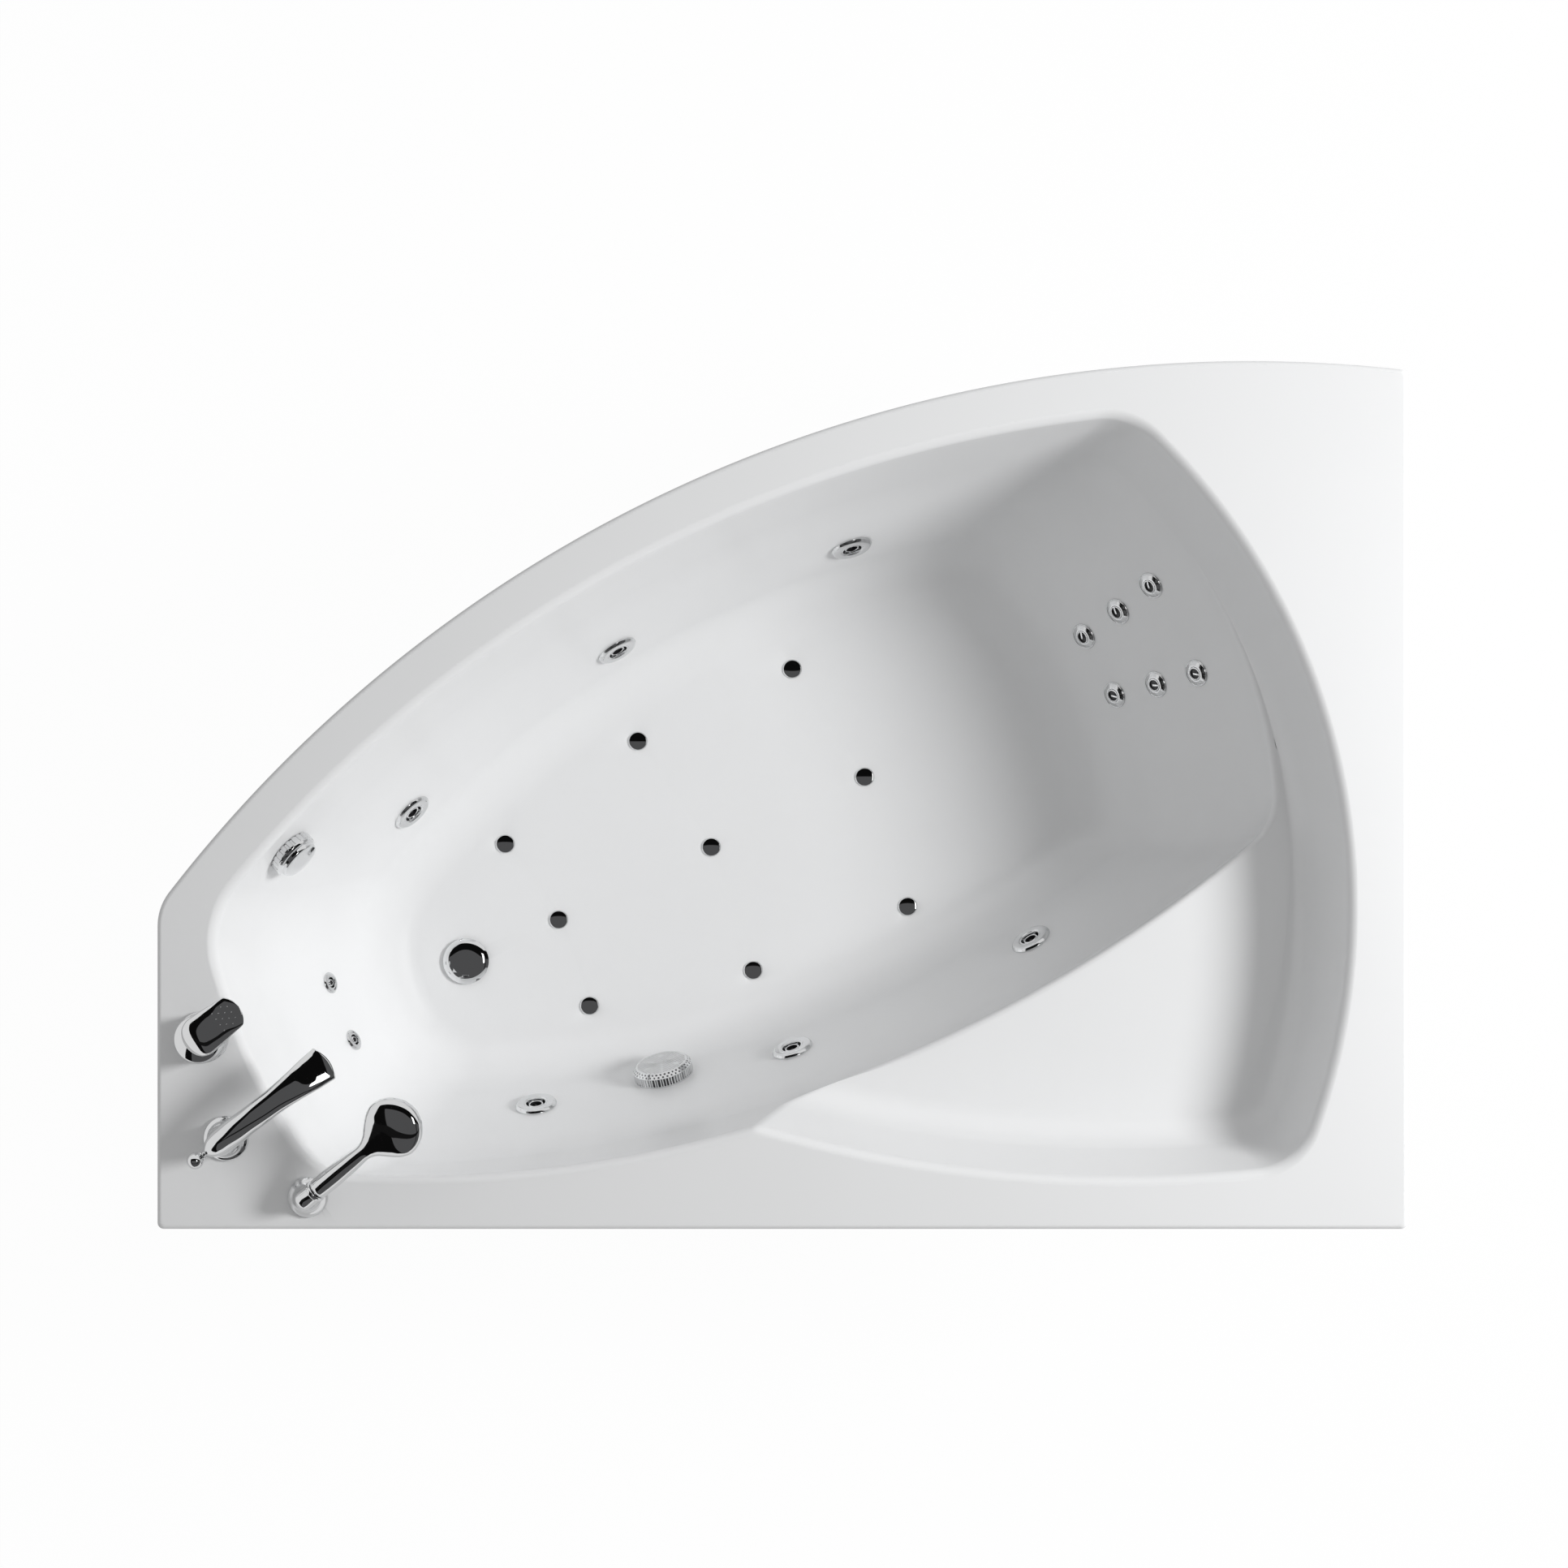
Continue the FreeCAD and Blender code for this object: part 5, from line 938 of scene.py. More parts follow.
class OBJECT_OT_tub_floor_fittings(bpy.types.Operator):
    """Nine air jet caps, the waste's flange and the plug that rises from it"""
    bl_idname = "object.tub_floor_fittings"
    bl_label = "Air jets and waste"

    def execute(self, context):
        s = context.scene.tub_fitting_sizes
        r, plug = s.air_cap / MM, s.plug / MM
        cap = turned([
            (0, 3.3), (5.0, 3.22), (10.0, 2.95), (13.6, 2.55, 0.4), (14.2, 1.9, 0.3), (r, 1.2, 0.3),
            (r, -0.6), (8.0, -0.6), (8.0, -58), (0, -58),
        ], 56, False)
        mesh_piece(
            "air_jet_caps", *joined([seated(p, cap) for p in air_frames()]), "chrome", TUB, "satin_grey",
            ("air_jets",)
        )
        place = waste_frame()
        flange = turned(
            [(24.2, 1.2), (25.6, 2.4, 0.8), (34.0, 2.4, 0.6), (35.2, 0.6, 0.3), (35.2, -0.6), (24.2, -0.6)],
            96
        )
        mesh_piece("waste_rim", *seated(place, flange), "chrome", TUB, "chrome")
        crown = [(share * (plug - 1.4), 9.7 - 4.4 * share ** 5) for share in np.linspace(0, 1, 21)]
        lid = turned([
            *crown, (plug, 4.6, 0.5), (plug, 3.2, 0.4), (plug - 1.6, 2.9, 0.4), (4.0, 2.9), (4.0, -48),
            (0, -48),
        ], 110, False)
        mesh_piece("plug_lid", *seated(place, lid), "chrome", "waste_plug", "chrome", ("waste_plug",))
        return {"FINISHED"}


def hexes(x, y, pitch):
    """Distance to the nearest centre of a hexagonal pattern.

    It is the smaller of the distances in two rectangular patterns, one moved by half a cell both ways.
    """
    half = np.array((pitch / 2, pitch * math.sqrt(3) / 2))
    first = np.hypot((x + half[0]) % pitch - half[0], (y + half[1]) % (2 * half[1]) - half[1])
    second = np.hypot(x % pitch - half[0], y % (2 * half[1]) - half[1])
    return np.minimum(first, second)


class OBJECT_OT_tub_suction(bpy.types.Operator):
    """Suction cover: a flat face with hexagonal rows of pits, a chamfer with holes and a slotted side"""
    bl_idname = "object.tub_suction"
    bl_label = "Suction cover"

    def execute(self, context):
        r = context.scene.tub_fitting_sizes.grille / MM
        place = round_frame("suction_grille", 0.9)
        # The face: flat, less its pits and three seams, with three round screw heads raised on it
        chamfer, chamfer_width, top, count = 6.5, 9.2, 22.0, 384
        edge = r - chamfer
        pitch, pit_radius, pit_depth, margin = 4.4, 1.25, 0.6, 2.2
        screw_circle, screw_head, screw_clear = 26.0, 3.6, 4.6
        chamfer_holes, hole_depth, slots, slot_depth = 40, 1.1, 64, 2.0
        angle = np.linspace(0, 2 * np.pi, count, endpoint=False)[None, :]
        radius = np.linspace(0, edge, 76)[:, None] * np.ones_like(angle)
        x, y = radius * np.cos(angle), radius * np.sin(angle)
        seams = [(angle - math.radians(a) + np.pi) % (2 * np.pi) - np.pi for a in (90, 210, 330)]
        seam = np.min([np.abs(turn) * radius for turn in seams], axis=0)
        heads = [(screw_circle * math.cos(a), screw_circle * math.sin(a)) for a in np.radians((30, 150, 270))]
        screws = np.min([np.hypot(x - across, y - up) for across, up in heads], axis=0)
        clear = (radius < edge - margin) & (seam > 1.6) & (screws > screw_clear)
        pit = (hexes(x, y, pitch) < pit_radius) & clear
        face_z = top - pit_depth * pit - 0.4 * (seam < 0.5)
        face_z = face_z + 0.9 * np.sqrt(np.clip(1 - (screws / screw_head) ** 2, 0, 1))
        # The chamfer: a cone down from the face's edge with two rows of round holes, one half a step on
        slope = np.linspace(0, 1, 25)[1:, None] * np.ones_like(angle)
        cr, cz = edge + chamfer * slope, top - chamfer * slope
        row = np.where(slope < 0.5, 0.27, 0.73)
        turns = (angle * chamfer_holes / (2 * np.pi) + (row > 0.5) * 0.5) % 1 - 0.5
        reach = np.hypot((slope - row) * chamfer_width, turns * 2 * np.pi * cr / chamfer_holes)
        hole = reach < pit_radius
        cr, cz = cr - hole_depth * hole, cz - hole_depth * hole
        # The side: upright, with equal slots round it
        drop = np.array((0.4, 0.8, 1.2, 12.6, 13.0, 15.4, 16.3))[:, None] * np.ones_like(angle)
        slot = ((angle * slots / (2 * np.pi)) % 1 < 0.5) & (drop > 1.0) & (drop < 12.8)
        sr, sz = r - slot_depth * slot, top - chamfer - drop
        rr = np.concatenate([radius, cr, sr])
        zz = np.concatenate([face_z, cz, sz])
        deep = np.concatenate([pit, hole, slot])
        points = np.stack([rr * np.cos(angle), rr * np.sin(angle), zz], axis=-1)
        under = np.stack([np.zeros_like(angle), np.zeros_like(angle), np.full_like(angle, -0.8)], axis=-1)
        points, faces = grid(np.concatenate([points, under]))
        # Faces in the pits, chamfer holes and side slots take the near-black finish as their painted shade
        flags = np.concatenate([deep, np.zeros_like(angle, bool)]).reshape(-1)
        dark = flags[np.array(faces)].sum(axis=1) >= 3
        points, faces = seated(place, (points, faces))
        mesh_piece(
            "suction_cover", points, faces, "trim", TUB, "satin_grey", ("suction_grille",), sharp=30,
            pitted=dark
        )
        return {"FINISHED"}


class OBJECT_OT_tub_overflow(bpy.types.Operator):
    """Overflow knob: a stepped chrome cap over a notched collar"""
    bl_idname = "object.tub_overflow"
    bl_label = "Overflow knob"

    def execute(self, context):
        r = context.scene.tub_fitting_sizes.knob / MM

        def notched(angle, radius, z):
            """Radius less a groove wherever the cosine of 22 turns is high, over the collar's height."""
            groove = np.clip((np.cos(angle * 22) - 0.2) * 4, 0, 1)
            return radius - 1.5 * groove * ((z > 2.0) & (z < 12.5) & (radius > r - 3.0))

        cap = turned([
            (0, 26.2), (18, 26.0, 6), (r - 7.0, 25.0, 1.4), (r - 5.6, 22.6, 0.8), (r - 5.0, 18.4, 0.6),
            (r - 2.4, 17.2, 0.9), (r - 0.6, 14.4, 0.7),
            (r - 0.4, 13.0, 0.3), (r, 12.0, 0.3), (r, 7.0), (r, 2.4, 0.3), (r - 0.6, 0.9, 0.3),
            (5.0, 0.9), (5.0, -29.6), (0, -29.6),
        ], 264, False, reach=notched)
        place = joint_frame("overflow_knob_turn")
        mesh_piece(
            "overflow_cap", *seated(place, cap), "chrome", "overflow_knob", "chrome", ("overflow_knob",)
        )
        return {"FINISHED"}


def smooth(x, xs, ys):
    """Values at x of a monotone cubic through the given points.

    The tangent at a point is the harmonic mean of the slopes beside it, or flat where their signs differ.
    """
    xs, ys = np.array(xs, float), np.array(ys, float)
    step, rise = np.diff(xs), np.diff(ys)
    slope = rise / step
    product, total = slope[1:] * slope[:-1], slope[1:] + slope[:-1]
    inner = np.where(product > 0, 2 * slope[1:] * slope[:-1] / (total + 1e-12), 0.0)
    tangent = np.concatenate([[slope[0]], inner, [slope[-1]]])
    at = np.clip(np.searchsorted(xs, x) - 1, 0, len(step) - 1)
    t = (x - xs[at]) / step[at]
    return ((2 * t ** 3 - 3 * t ** 2 + 1) * ys[at] + (t ** 3 - 2 * t ** 2 + t) * step[at] * tangent[at]
            + (3 * t ** 2 - 2 * t ** 3) * ys[at + 1] + (t ** 3 - t ** 2) * step[at] * tangent[at + 1])


def oval(x, half, top, bottom, power=2.4, count=56):
    """Sections across x, each a superellipse between its bottom and its top.

    Width and height go with the cosine and sine of the turn, each to the power of 2 over the exponent.
    """
    angle = np.linspace(0, 2 * np.pi, count, endpoint=False)[None, :]
    c, s = np.cos(angle), np.sin(angle)
    power = np.broadcast_to(np.asarray(power, float), x.shape)[:, None]
    y = np.sign(c) * np.abs(c) ** (2 / power) * half[:, None]
    lift = np.sign(s) * np.abs(s) ** (2 / power)
    middle = ((top + bottom) / 2)[:, None]
    z = middle + lift * ((top - bottom) / 2)[:, None]
    return np.stack([np.broadcast_to(x[:, None], y.shape), y, z], axis=-1)


def on_deck(name, across=None):
    """Frame on the deck at one of its fittings."""
    x, y = DECK_PLACES[name]
    return frame_of((x, y, RIM_LEVEL), UP, across)


class OBJECT_OT_tub_mixer(bpy.types.Operator):
    """Deck mixer: a round body, a turning dome, and a lever blade with pressed dimples near its tip"""
    bl_idname = "object.tub_mixer"
    bl_label = "Deck mixer"

    def execute(self, context):
        s = context.scene.tub_tap_sizes
        r, reach = s.mixer / MM, s.lever / MM
        place = on_deck("mixer", ALONG)
        body = turned([
            (0, 44), (33.2, 44, 0.5), (34.0, 43.2, 0.6), (34.2, 12.0, 6.0), (35.0, 6.8, 2.0),
            (r - 0.6, 5.2, 1.2), (r, 3.0, 1.0), (r, -0.4), (16, -0.4), (16, -70), (0, -70),
        ], 110, False)
        mesh_piece("mixer_column", *seated(place, body), "chrome", TUB, "chrome", ("mixer_body",))
        pivot = 67.3
        heel = 16
        dome = joined([
            turned([
                (0, 28.2), (11.9, 28.2), (11.9, 44.35), (33.4, 44.35, 0.4), (34.0, 45.6, 0.8),
                (33.4, 48.5, 2.0), (14.0, 58.0, 4.0), (0, 59.5),
            ], 110, False),
            turned(
                [
                    (0, pivot - 9), (6.4, pivot - 6.4, 3.0), (9, pivot, 4.5), (6.4, pivot + 6.4, 3.0),
                    (0, pivot + 9)
                ],
                40, False
            ),
        ])
        mesh_piece("mixer_dome", *seated(place, dome), "chrome", "mixer_hub", "chrome", ("mixer_hub",))
        # Half width, top and bottom of the blade along its length, and dimples set on the top of its sections
        blade_power = 2.3
        tables = (
            (
                (-heel, -14, -9, -2, 10, 30, 55, 72, 76, 79, 81.5, reach),
                (3, 11, 20, 26, 29.5, 28.6, 26.0, 24.2, 20.5, 16.0, 10.5, 2)
            ),
            ((-heel, -12, -5, 4, 16, 35, 60, reach), (67.5, 72.5, 78.5, 83.0, 86.5, 90.5, 95.0, 96.6)),
            ((-heel, -8, 15, 45, 66, reach), (65.8, 64.8, 66.2, 77.5, 87.5, 93.0)),
        )
        x = (reach - heel) / 2 - (reach + heel) / 2 * np.cos(np.linspace(0, np.pi, 61))
        lever = carried(oval(x, *[smooth(x, *table) for table in tables], blade_power))
        dot = turned([(0, 0.6), (0.6, 0.4, 0.2), (0.85, -0.4), (0, -0.4)], 12, False, 2)
        dimples = []
        for at, seats in ((46.0, 4), (54.0, 3), (62.0, 4), (70.0, 3)):
            half, top, low = [float(smooth(np.array([at]), *table)[0]) for table in tables]
            for seat in np.linspace(-14.5, 14.5, 4)[:seats] + (0 if seats == 4 else 4.8):
                rise = (1 - (abs(seat) / half) ** blade_power) ** (1 / blade_power) * (top - low) / 2
                dimples.append((dot[0] + np.array((at, seat, (top + low) / 2 + rise)), dot[1]))
        mesh_piece("lever_blade", *seated(place, lever), "chrome", "mixer_lever", "chrome", ("mixer_lever",))
        mesh_piece("lever_dimples", *seated(place, joined(dimples)), "trim", "mixer_lever", "chrome")
        return {"FINISHED"}


class OBJECT_OT_tub_spout(bpy.types.Operator):
    """Bath spout: a foot, a neck and a long leaf-shaped blade with an open mouth, and the diverter's knob"""
    bl_idname = "object.tub_spout"
    bl_label = "Spout and diverter"

    def execute(self, context):
        reach = context.scene.tub_tap_sizes.spout / MM
        place = on_deck("spout", ALONG)
        foot = turned([
            (0, 62), (15, 62, 3), (20.5, 50, 8), (21.5, 22, 8), (25.5, 8.5, 4), (31.4, 5.2, 1.5),
            (32.6, 3.4, 1.2), (32.6, -0.4), (16, -0.4), (16, -70), (0, -70),
        ], 96, False)
        # The blade's sections run from heel to mouth, and the last six bow forwards by a parabola
        heel, bow_depth, bow_half, mouth_depth = 27.0, 7.0, 27.0, 24.0
        share = (1 - np.cos(np.linspace(0, np.pi, 70))) / 2
        x = -heel + (reach + heel) * share
        half = smooth(
            x, (-heel, -23, -12, 4, 22, 56, 94, 132, 166, reach),
            (1.5, 8.0, 15.5, 19.0, 19.8, 18.4, 18.6, 21.4, 25.2, 26.8)
        )
        top = smooth(
            x, (-heel, -18, 0, 38, 85, 122, 146, 165, 178, reach),
            (60.0, 66.0, 74.0, 84.0, 91.0, 93.5, 91.9, 87.0, 82.6, 79.0)
        )
        low = smooth(x, (-heel, -16, 4, 38, 94, 150, reach), (52.0, 45.0, 38.0, 46.0, 62.0, 69.0, 65.0))
        power = smooth(x, (-heel, 0, 30, 70, 120, 160, reach), (1.7, 1.7, 2.0, 2.5, 2.7, 3.0, 3.2))
        sections = oval(x, half, top, low, power, 64)
        mouth = sections[-1].copy()
        middle = mouth.mean(axis=0)
        bow = bow_depth * (1 - ((mouth[:, 1] - middle[1]) / bow_half) ** 2)
        sections[-6:, :, 0] += np.linspace(0.1, 1, 6)[:, None] * bow[None, :]
        mouth = sections[-1]
        inner = mouth.copy()
        inner[:, 1:] = middle[1:] + (mouth[:, 1:] - middle[1:]) * np.array((0.86, 0.55))
        lip = inner.copy()
        lip[:, 0] += 0.5
        deep = inner.copy()
        deep[:, 0] = reach - mouth_depth
        blade = carried(np.concatenate([sections, lip[None], inner[None], deep[None]]))
        mesh_piece("spout_blade", *seated(place, joined([foot, blade])), "chrome", TUB, "chrome", ("spout",))
        rod_level, ball_radius, ball_reach = 56.0, 12.1, 44.0
        knob_place = frame_of(place[1] + UP * rod_level, -ALONG, UP)
        turns = np.linspace(0, math.radians(155), 26)
        ball = [(ball_radius * math.sin(a), ball_reach + ball_radius * math.cos(a)) for a in turns]
        knob = turned(
            [
                *ball, (4.2, 32.6, 0.3), (6.4, 31.8, 0.6), (6.4, 29.8, 0.6), (3.5, 29.2, 0.2), (3.5, 8.5),
                (0, 8.5)
            ],
            64, False, 6
        )
        mesh_piece(
            "diverter_ball", *seated(knob_place, knob), "chrome", "diverter_knob", "chrome",
            ("diverter_knob",)
        )
        return {"FINISHED"}


class OBJECT_OT_tub_hand_shower(bpy.types.Operator):
    """Hand shower: holder and socket, a handle of oval sections that flows into a domed head, and its face"""
    bl_idname = "object.tub_hand_shower"
    bl_label = "Hand shower"

    def execute(self, context):
        s = context.scene.tub_tap_sizes
        r, head, reach = s.holder / MM, s.head / MM, s.head_reach / MM
        joint = next(item for item in frame["joints"] if item["name"] == "hand_shower_lift_off")
        axis = np.array(joint["axis"], float)
        across = np.cross(UP, axis)
        up = np.cross(axis, across / np.linalg.norm(across))
        place = on_deck("holder")
        cone = turned([
            (0, 36), (9, 35.5, 3), (14.6, 30, 4), (15.6, 24, 3), (19.5, 15.5, 4), (26.0, 8.5, 3),
            (r, 4.6, 1.4), (r, -0.4), (16, -0.4), (16, -70), (0, -70),
        ], 84, False)
        socket_place = frame_of(place[1] + UP * SOCKET_RISE, axis)
        socket = turned([
            (0, -15.4), (9, -13.5, 3), (14.6, -7.0, 4), (15.0, 0, 3), (15.0, 17.0, 0.4),
            (16.4, 18.0, 0.6), (16.4, 22.6, 0.7), (15.2, 23.8, 0.5), (11.4, 23.8, 0.2), (11.4, 1.6),
            (0, 1.6),
        ], 72, False)
        mesh_piece(
            "shower_cradle", *joined([seated(place, cone), seated(socket_place, socket)]), "chrome", TUB,
            "chrome", ("shower_holder",)
        )
        origin = place[1] + UP * SOCKET_RISE + axis * SOCKET_MOUTH
        turn = np.stack([axis, np.cross(up, axis), up], axis=1)
        # The handle widens into the neck, and past the head's middle the sections follow a circle to its rim
        end, handle_end, dome, spray, superellipse = reach + head, 110.0, 19.2, 12.5, 2.5
        last = handle_end + (end - handle_end) * np.sin(np.linspace(0.02, np.pi / 2, 60))
        x = np.concatenate([[-22.0, -21.5, 0.3, 0.5], np.linspace(1.0, handle_end, 34), last])
        root = ((-22, -21.5, 0.3, 0.5, 3.0, 30, 75), (9.6, 10.9, 10.9, 13.0, 15.0, 15.6, 14.0))
        past = np.clip((x - reach) / head, 0, 1)
        circle, crown = np.sqrt(1 - past ** 2), (1 - past ** superellipse) ** (1 / superellipse)
        neck = smooth(
            x, (*root[0], 98, 108, 118, 127, 136, 146, reach, end),
            (*root[1], 12.6, 14.6, 20.0, 28.0, 35.6, 41.8, head, head)
        )
        half = np.where(x > reach, head * circle, neck)
        bulge = smooth(
            x, (*root[0][:-1], 100, 116, 132, 146, reach, end),
            (*root[1][:-1], 16.6, 17.4, 18.2, 18.8, dome, dome)
        )
        top = np.where(x > reach, dome * crown, bulge)
        under = smooth(x, (*root[0], handle_end, end), (*root[1], 12.4, 12.4))
        low = -np.where(x > reach, spray * circle ** 0.5, under)
        power = smooth(
            x, (-22, 60, handle_end, 150, reach, 260), (2.0, 2.2, 2.6, 2.6, superellipse, superellipse)
        )
        shell = carried(oval(x, half, top, low, power, 72))
        seat = (turn, origin)
        mesh_piece(
            "shower_handset", *seated(seat, shell), "chrome", "hand_shower", "chrome", ("hand_shower",)
        )
        face_place = (turn, origin + turn @ np.array((reach, 0, 0)))
        face = [
            turned([(0, -15.2), (36.5, -15.2, 0.8), (38.0, -13.8, 0.8), (38.0, -11.5), (0, -11.5)], 84, False)
        ]
        nozzle = turned([(0, -17.0), (0.9, -16.9, 0.3), (1.3, -15.0), (0, -15.0)], 10, False, 2)
        for ring, count in ((6.0, 6), (13.0, 12), (20.0, 18), (27.0, 24), (33.0, 30)):
            for a in np.linspace(0, 2 * np.pi, count, endpoint=False):
                face.append((nozzle[0] + np.array((ring * math.cos(a), ring * math.sin(a), 0)), nozzle[1]))
        mesh_piece(
            "shower_spray_face", *seated(face_place, joined(face)), "moulding", "hand_shower",
            "grey_plastic", ("shower_face",)
        )
        return {"FINISHED"}


# Finish of each solid that the scene shows as the frame gives it
UNDERSIDE = {
    "side_jet_barrels": "dark", "back_jet_barrels": "dark", "foot_jet_barrels": "dark",
    "air_pipes": "pipe", "suction_housing": "pipe",
    "waste_body": "chrome", "waste_gasket": "rubber", "waste_nut": "pipe", "trap": "pipe",
    "overflow_body": "pipe", "overflow_pipe": "pipe",
    "deck_nuts": "zinc", "mixer_valve": "chrome", "tap_pipe": "copper", "support_frame": "zinc",
    "frame_posts": "zinc",
    "floor_battens": "timber", "equipment_tray": "zinc", "pump_wet_end": "moulding",
    "pump_motor": "motor", "air_blower": "moulding",
    "suction_pipe": "pipe", "water_pipe_wall": "pipe", "water_pipe_front": "pipe",
}


class OBJECT_OT_tub_underside(bpy.types.Operator):
    """Frame, feet, pump, blower and pipes below the shell, in their own finishes"""
    bl_idname = "object.tub_underside"
    bl_label = "Underside"

    def execute(self, context):
        for name, node in frame["nodes"].items():
            kind = UNDERSIDE.get(name, "zinc" if name.startswith("levelling_foot") else None)
            if kind is None:
                continue
            node.data.materials.clear()
            node.data.materials.append(FINISHES[kind])
        return {"FINISHED"}


class OBJECT_OT_tub_stage(bpy.types.Operator):
    """Pale floor, one studio lamp, cards for the reflections and the camera straight above"""
    bl_idname = "object.tub_stage"
    bl_label = "Stage"

    def execute(self, context):
        scene = context.scene
        scene.view_settings.view_transform = "Standard"
        # The world lights evenly, and the camera sees white, which mirrors share in part
        world = bpy.data.worlds.new("studio")
        scene.world = world
        world.use_nodes = True
        tree = world.node_tree
        ground = tree.nodes["Background"]
        ground.inputs["Color"].default_value = (1.0, 1.0, 1.0, 1.0)
        ground.inputs["Strength"].default_value = 0.40
        seen = tree.nodes.new("ShaderNodeBackground")
        seen.inputs["Color"].default_value = (1.0, 1.0, 1.0, 1.0)
        seen.inputs["Strength"].default_value = 1.0
        light_path = tree.nodes.new("ShaderNodeLightPath")
        shown = tree.nodes.new("ShaderNodeMath")
        shown.operation = "MAXIMUM"
        mirrored = tree.nodes.new("ShaderNodeMath")
        mirrored.operation = "MULTIPLY"
        mirrored.inputs[1].default_value = 0.667
        tree.links.new(light_path.outputs["Is Glossy Ray"], mirrored.inputs[0])
        tree.links.new(light_path.outputs["Is Camera Ray"], shown.inputs[0])
        tree.links.new(mirrored.outputs["Value"], shown.inputs[1])
        mix = tree.nodes.new("ShaderNodeMixShader")
        tree.links.new(shown.outputs["Value"], mix.inputs["Fac"])
        tree.links.new(ground.outputs["Background"], mix.inputs[1])
        tree.links.new(seen.outputs["Background"], mix.inputs[2])
        tree.links.new(mix.outputs["Shader"], tree.nodes["World Output"].inputs["Surface"])
        card("studio_floor", (0, 0, 0), (8.0, 8.0), (0, 0, 0), scene.tub_colours.backdrop, 0.97)
        # Cards that only mirrors see: a dim ceiling crossed by dark beams, and a bright window
        down = (math.pi, 0, 0)
        cards = [
            card("ceiling_card", (18.0, -20.7, 6.50), (54.0, 48.4), down, (1.0, 1.0, 1.02), 0.0, 0.085),
            card("ceiling_edge_beam", (-7.2, -20.7, 6.45), (3.6, 48.4), down, (1.0, 1.0, 1.0), 0.0, 0.004),
            card("ceiling_far_beam", (4.6, -20.7, 6.45), (1.2, 48.4), down, (1.0, 1.0, 1.0), 0.0, 0.008),
            card("ceiling_cross_beam", (18.0, 1.8, 6.44), (54.0, 3.4), down, (1.0, 1.0, 1.0), 0.0, 0.004),
            card("ceiling_low_beam", (18.0, -4.6, 6.44), (54.0, 1.2), down, (1.0, 1.0, 1.0), 0.0, 0.008),
            card("window_card", (2.65, 0.1, 6.30), (1.3, 2.0), down, (1.0, 1.0, 1.0), 0.0, 3.0),
        ]
        for piece in cards:
            piece.visible_camera = False
            piece.visible_diffuse = False
            piece.visible_shadow = False
            piece.visible_transmission = False
        lamp("key_lamp", (4.2, 0.65, 3.5), (-0.1, 0.0, 0.5), 1.5, 208.0)
        camera_data = bpy.data.cameras.new("camera")
        camera_data.sensor_width, camera_data.lens = 36.0, 79.8
        camera = bpy.data.objects.new("camera", camera_data)
        camera.location = (0.0023, 0.0158, 5.64)
        scene.collection.objects.link(camera)
        scene.camera = camera
        return {"FINISHED"}


def card(name, place, size, turn, tone, seen=0.0, glow=0.0):
    """Flat card of the stage, matt in its tone.

    Seen is the share of plain white that the camera sees on it, and with a glow it only shines, in its tone.
    """
    mesh = bpy.data.meshes.new(name)
    x, y = size[0] / 2, size[1] / 2
    mesh.from_pydata([(-x, -y, 0), (x, -y, 0), (x, y, 0), (-x, y, 0)], [], [(0, 1, 2, 3)])
    material = bpy.data.materials.new(name)
    material.use_nodes = True
    tree = material.node_tree
    tree.nodes.remove(tree.nodes["Principled BSDF"])
    matt = tree.nodes.new("ShaderNodeBsdfDiffuse")
    matt.inputs["Color"].default_value = (*tone, 1.0)
    plain = tree.nodes.new("ShaderNodeEmission")
    plain.inputs["Color"].default_value = (*(tone if glow else (1.0, 1.0, 1.0)), 1.0)
    plain.inputs["Strength"].default_value = glow if glow else 1.0
    mix = tree.nodes.new("ShaderNodeMixShader")
    if glow:
        mix.inputs["Fac"].default_value = 1.0
    else:
        path = tree.nodes.new("ShaderNodeLightPath")
        share = tree.nodes.new("ShaderNodeMath")
        share.operation = "MULTIPLY"
        share.inputs[1].default_value = seen
        tree.links.new(path.outputs["Is Camera Ray"], share.inputs[0])
        tree.links.new(share.outputs["Value"], mix.inputs["Fac"])
    tree.links.new(matt.outputs["BSDF"], mix.inputs[1])
    tree.links.new(plain.outputs["Emission"], mix.inputs[2])
    tree.links.new(mix.outputs["Shader"], tree.nodes["Material Output"].inputs["Surface"])
    mesh.materials.append(material)
    piece = bpy.data.objects.new(name, mesh)
    piece.location, piece.rotation_euler = place, turn
    bpy.context.scene.collection.objects.link(piece)
    return piece


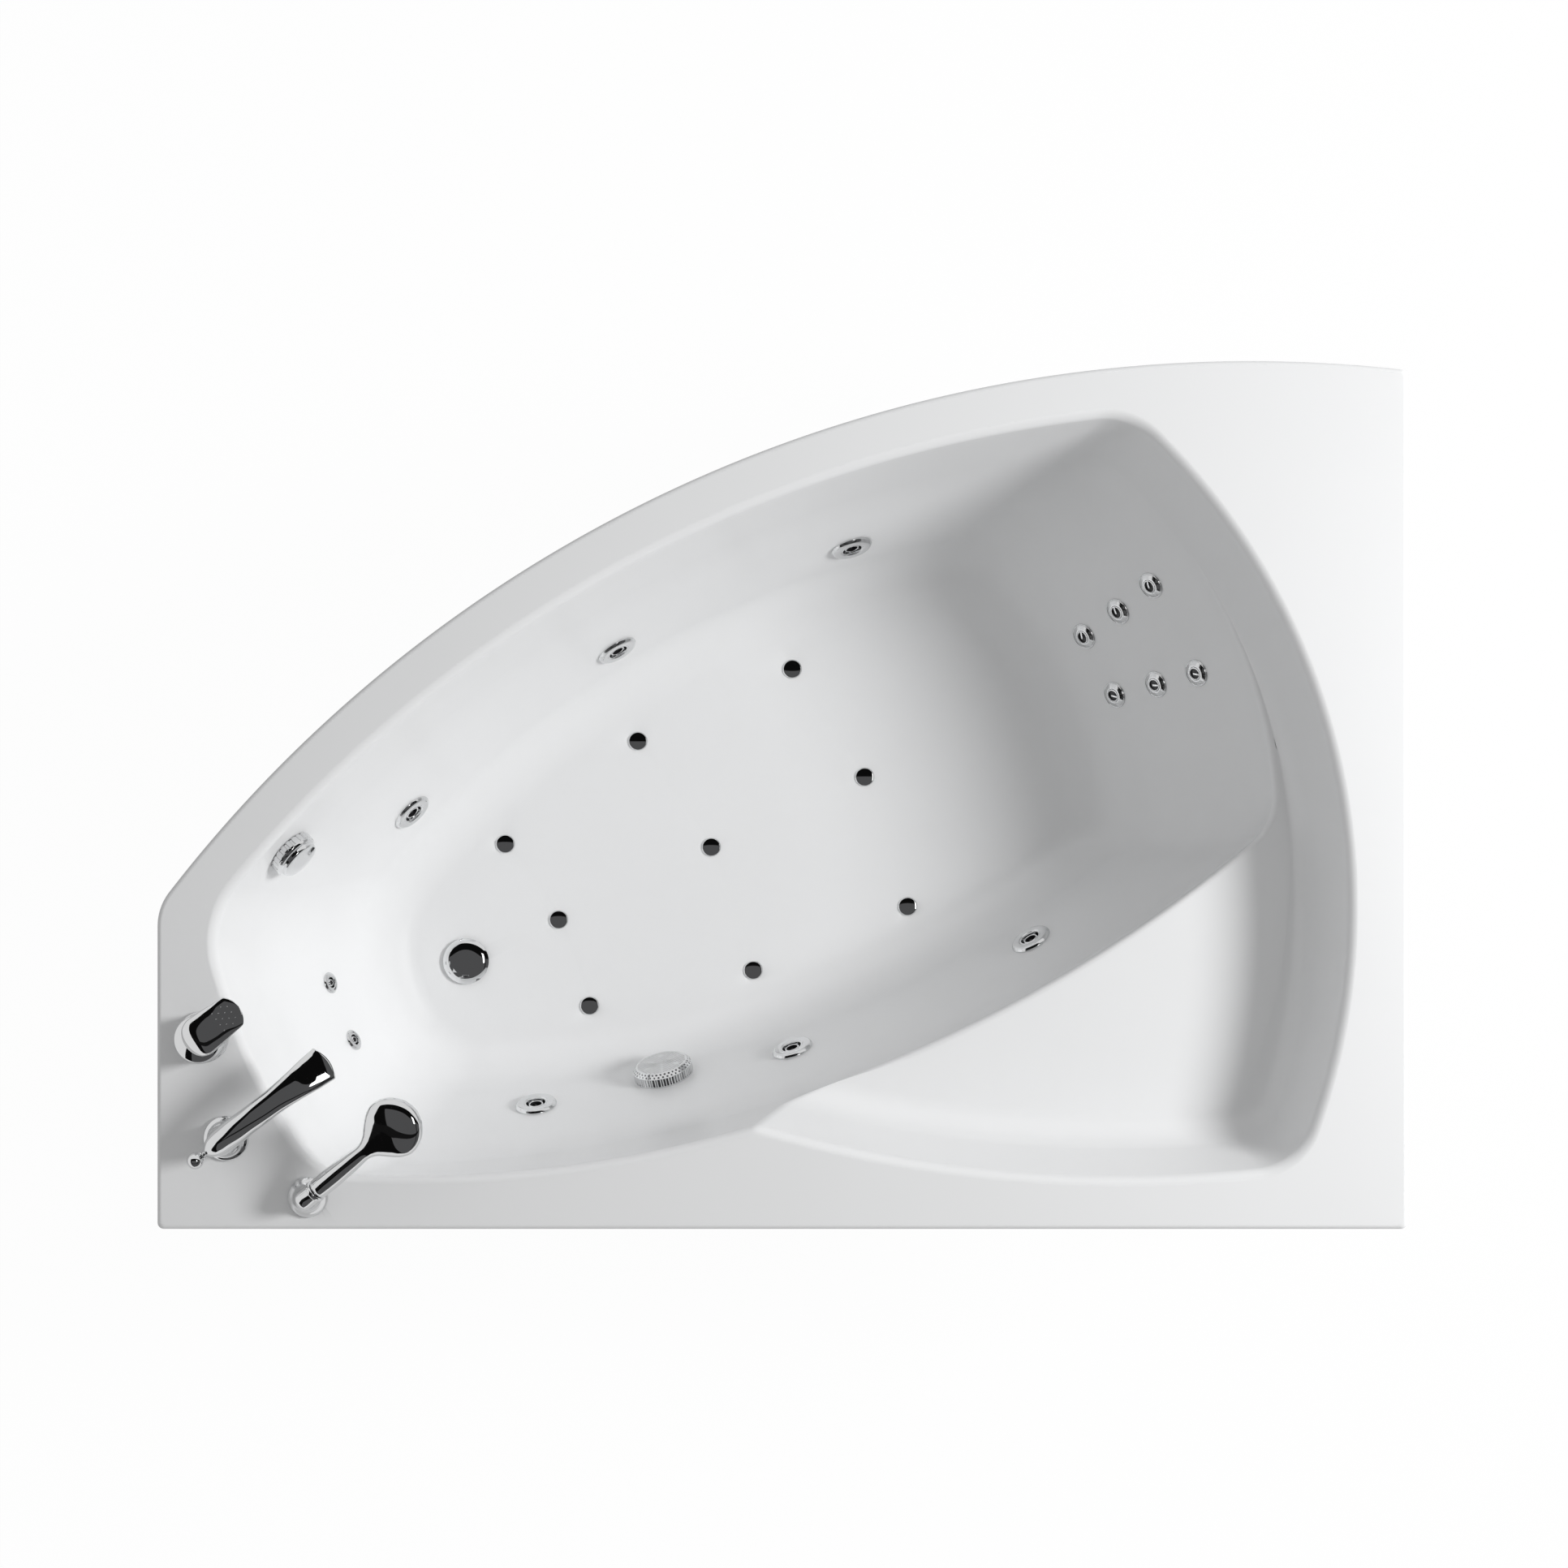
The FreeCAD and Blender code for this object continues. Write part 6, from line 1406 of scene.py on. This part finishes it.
def lamp(name, place, toward, size, power):
    """Round area lamp at a place, aimed at a point, that mirrors don't show."""
    data = bpy.data.lights.new(name, "AREA")
    data.shape, data.size, data.energy = "DISK", size, power
    piece = bpy.data.objects.new(name, data)
    aim = np.array(place) - np.array(toward)
    piece.location = place
    lean, heading = math.atan2(math.hypot(aim[0], aim[1]), aim[2]), math.atan2(aim[1], aim[0])
    piece.rotation_euler = (lean, 0.0, heading + math.pi / 2)
    piece.visible_glossy = False
    bpy.context.scene.collection.objects.link(piece)


class VIEW3D_PT_bathtub(bpy.types.Panel):
    """Sizes, colours and the steps that build the bath"""
    bl_label = "Bathtub"
    bl_idname = "VIEW3D_PT_bathtub"
    bl_space_type = "VIEW_3D"
    bl_region_type = "UI"
    bl_category = "Bathtub"

    def draw(self, context):
        for group in ("tub_shell_sizes", "tub_fitting_sizes", "tub_tap_sizes", "tub_colours"):
            box = self.layout.box()
            values = getattr(context.scene, group)
            for key in values.__annotations__:
                box.prop(values, key)
        for step in STEPS:
            self.layout.operator(step.bl_idname)


GROUPS = {
    "tub_shell_sizes": TubShellSizes, "tub_fitting_sizes": TubFittingSizes,
    "tub_tap_sizes": TubTapSizes, "tub_colours": TubColours,
}
STEPS = (
    OBJECT_OT_tub_shell, OBJECT_OT_tub_side_jets, OBJECT_OT_tub_back_jets, OBJECT_OT_tub_foot_jets,
    OBJECT_OT_tub_floor_fittings, OBJECT_OT_tub_suction, OBJECT_OT_tub_overflow, OBJECT_OT_tub_mixer,
    OBJECT_OT_tub_spout, OBJECT_OT_tub_hand_shower, OBJECT_OT_tub_underside, OBJECT_OT_tub_stage,
)


def register():
    """Classes, and the scene's groups of sizes and colours."""
    for item in (*GROUPS.values(), *STEPS, VIEW3D_PT_bathtub):
        bpy.utils.register_class(item)
    for name, group in GROUPS.items():
        setattr(bpy.types.Scene, name, bpy.props.PointerProperty(type=group))


def unregister():
    """Everything that register added, in reverse."""
    for name in GROUPS:
        delattr(bpy.types.Scene, name)
    for item in reversed((*GROUPS.values(), *STEPS, VIEW3D_PT_bathtub)):
        bpy.utils.unregister_class(item)


def main():
    """Register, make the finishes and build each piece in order."""
    register()
    make_finishes(bpy.context.scene.tub_colours)
    for step in STEPS:
        getattr(bpy.ops.object, step.bl_idname.split(".")[1])()


if __name__ == "__main__":
    main()
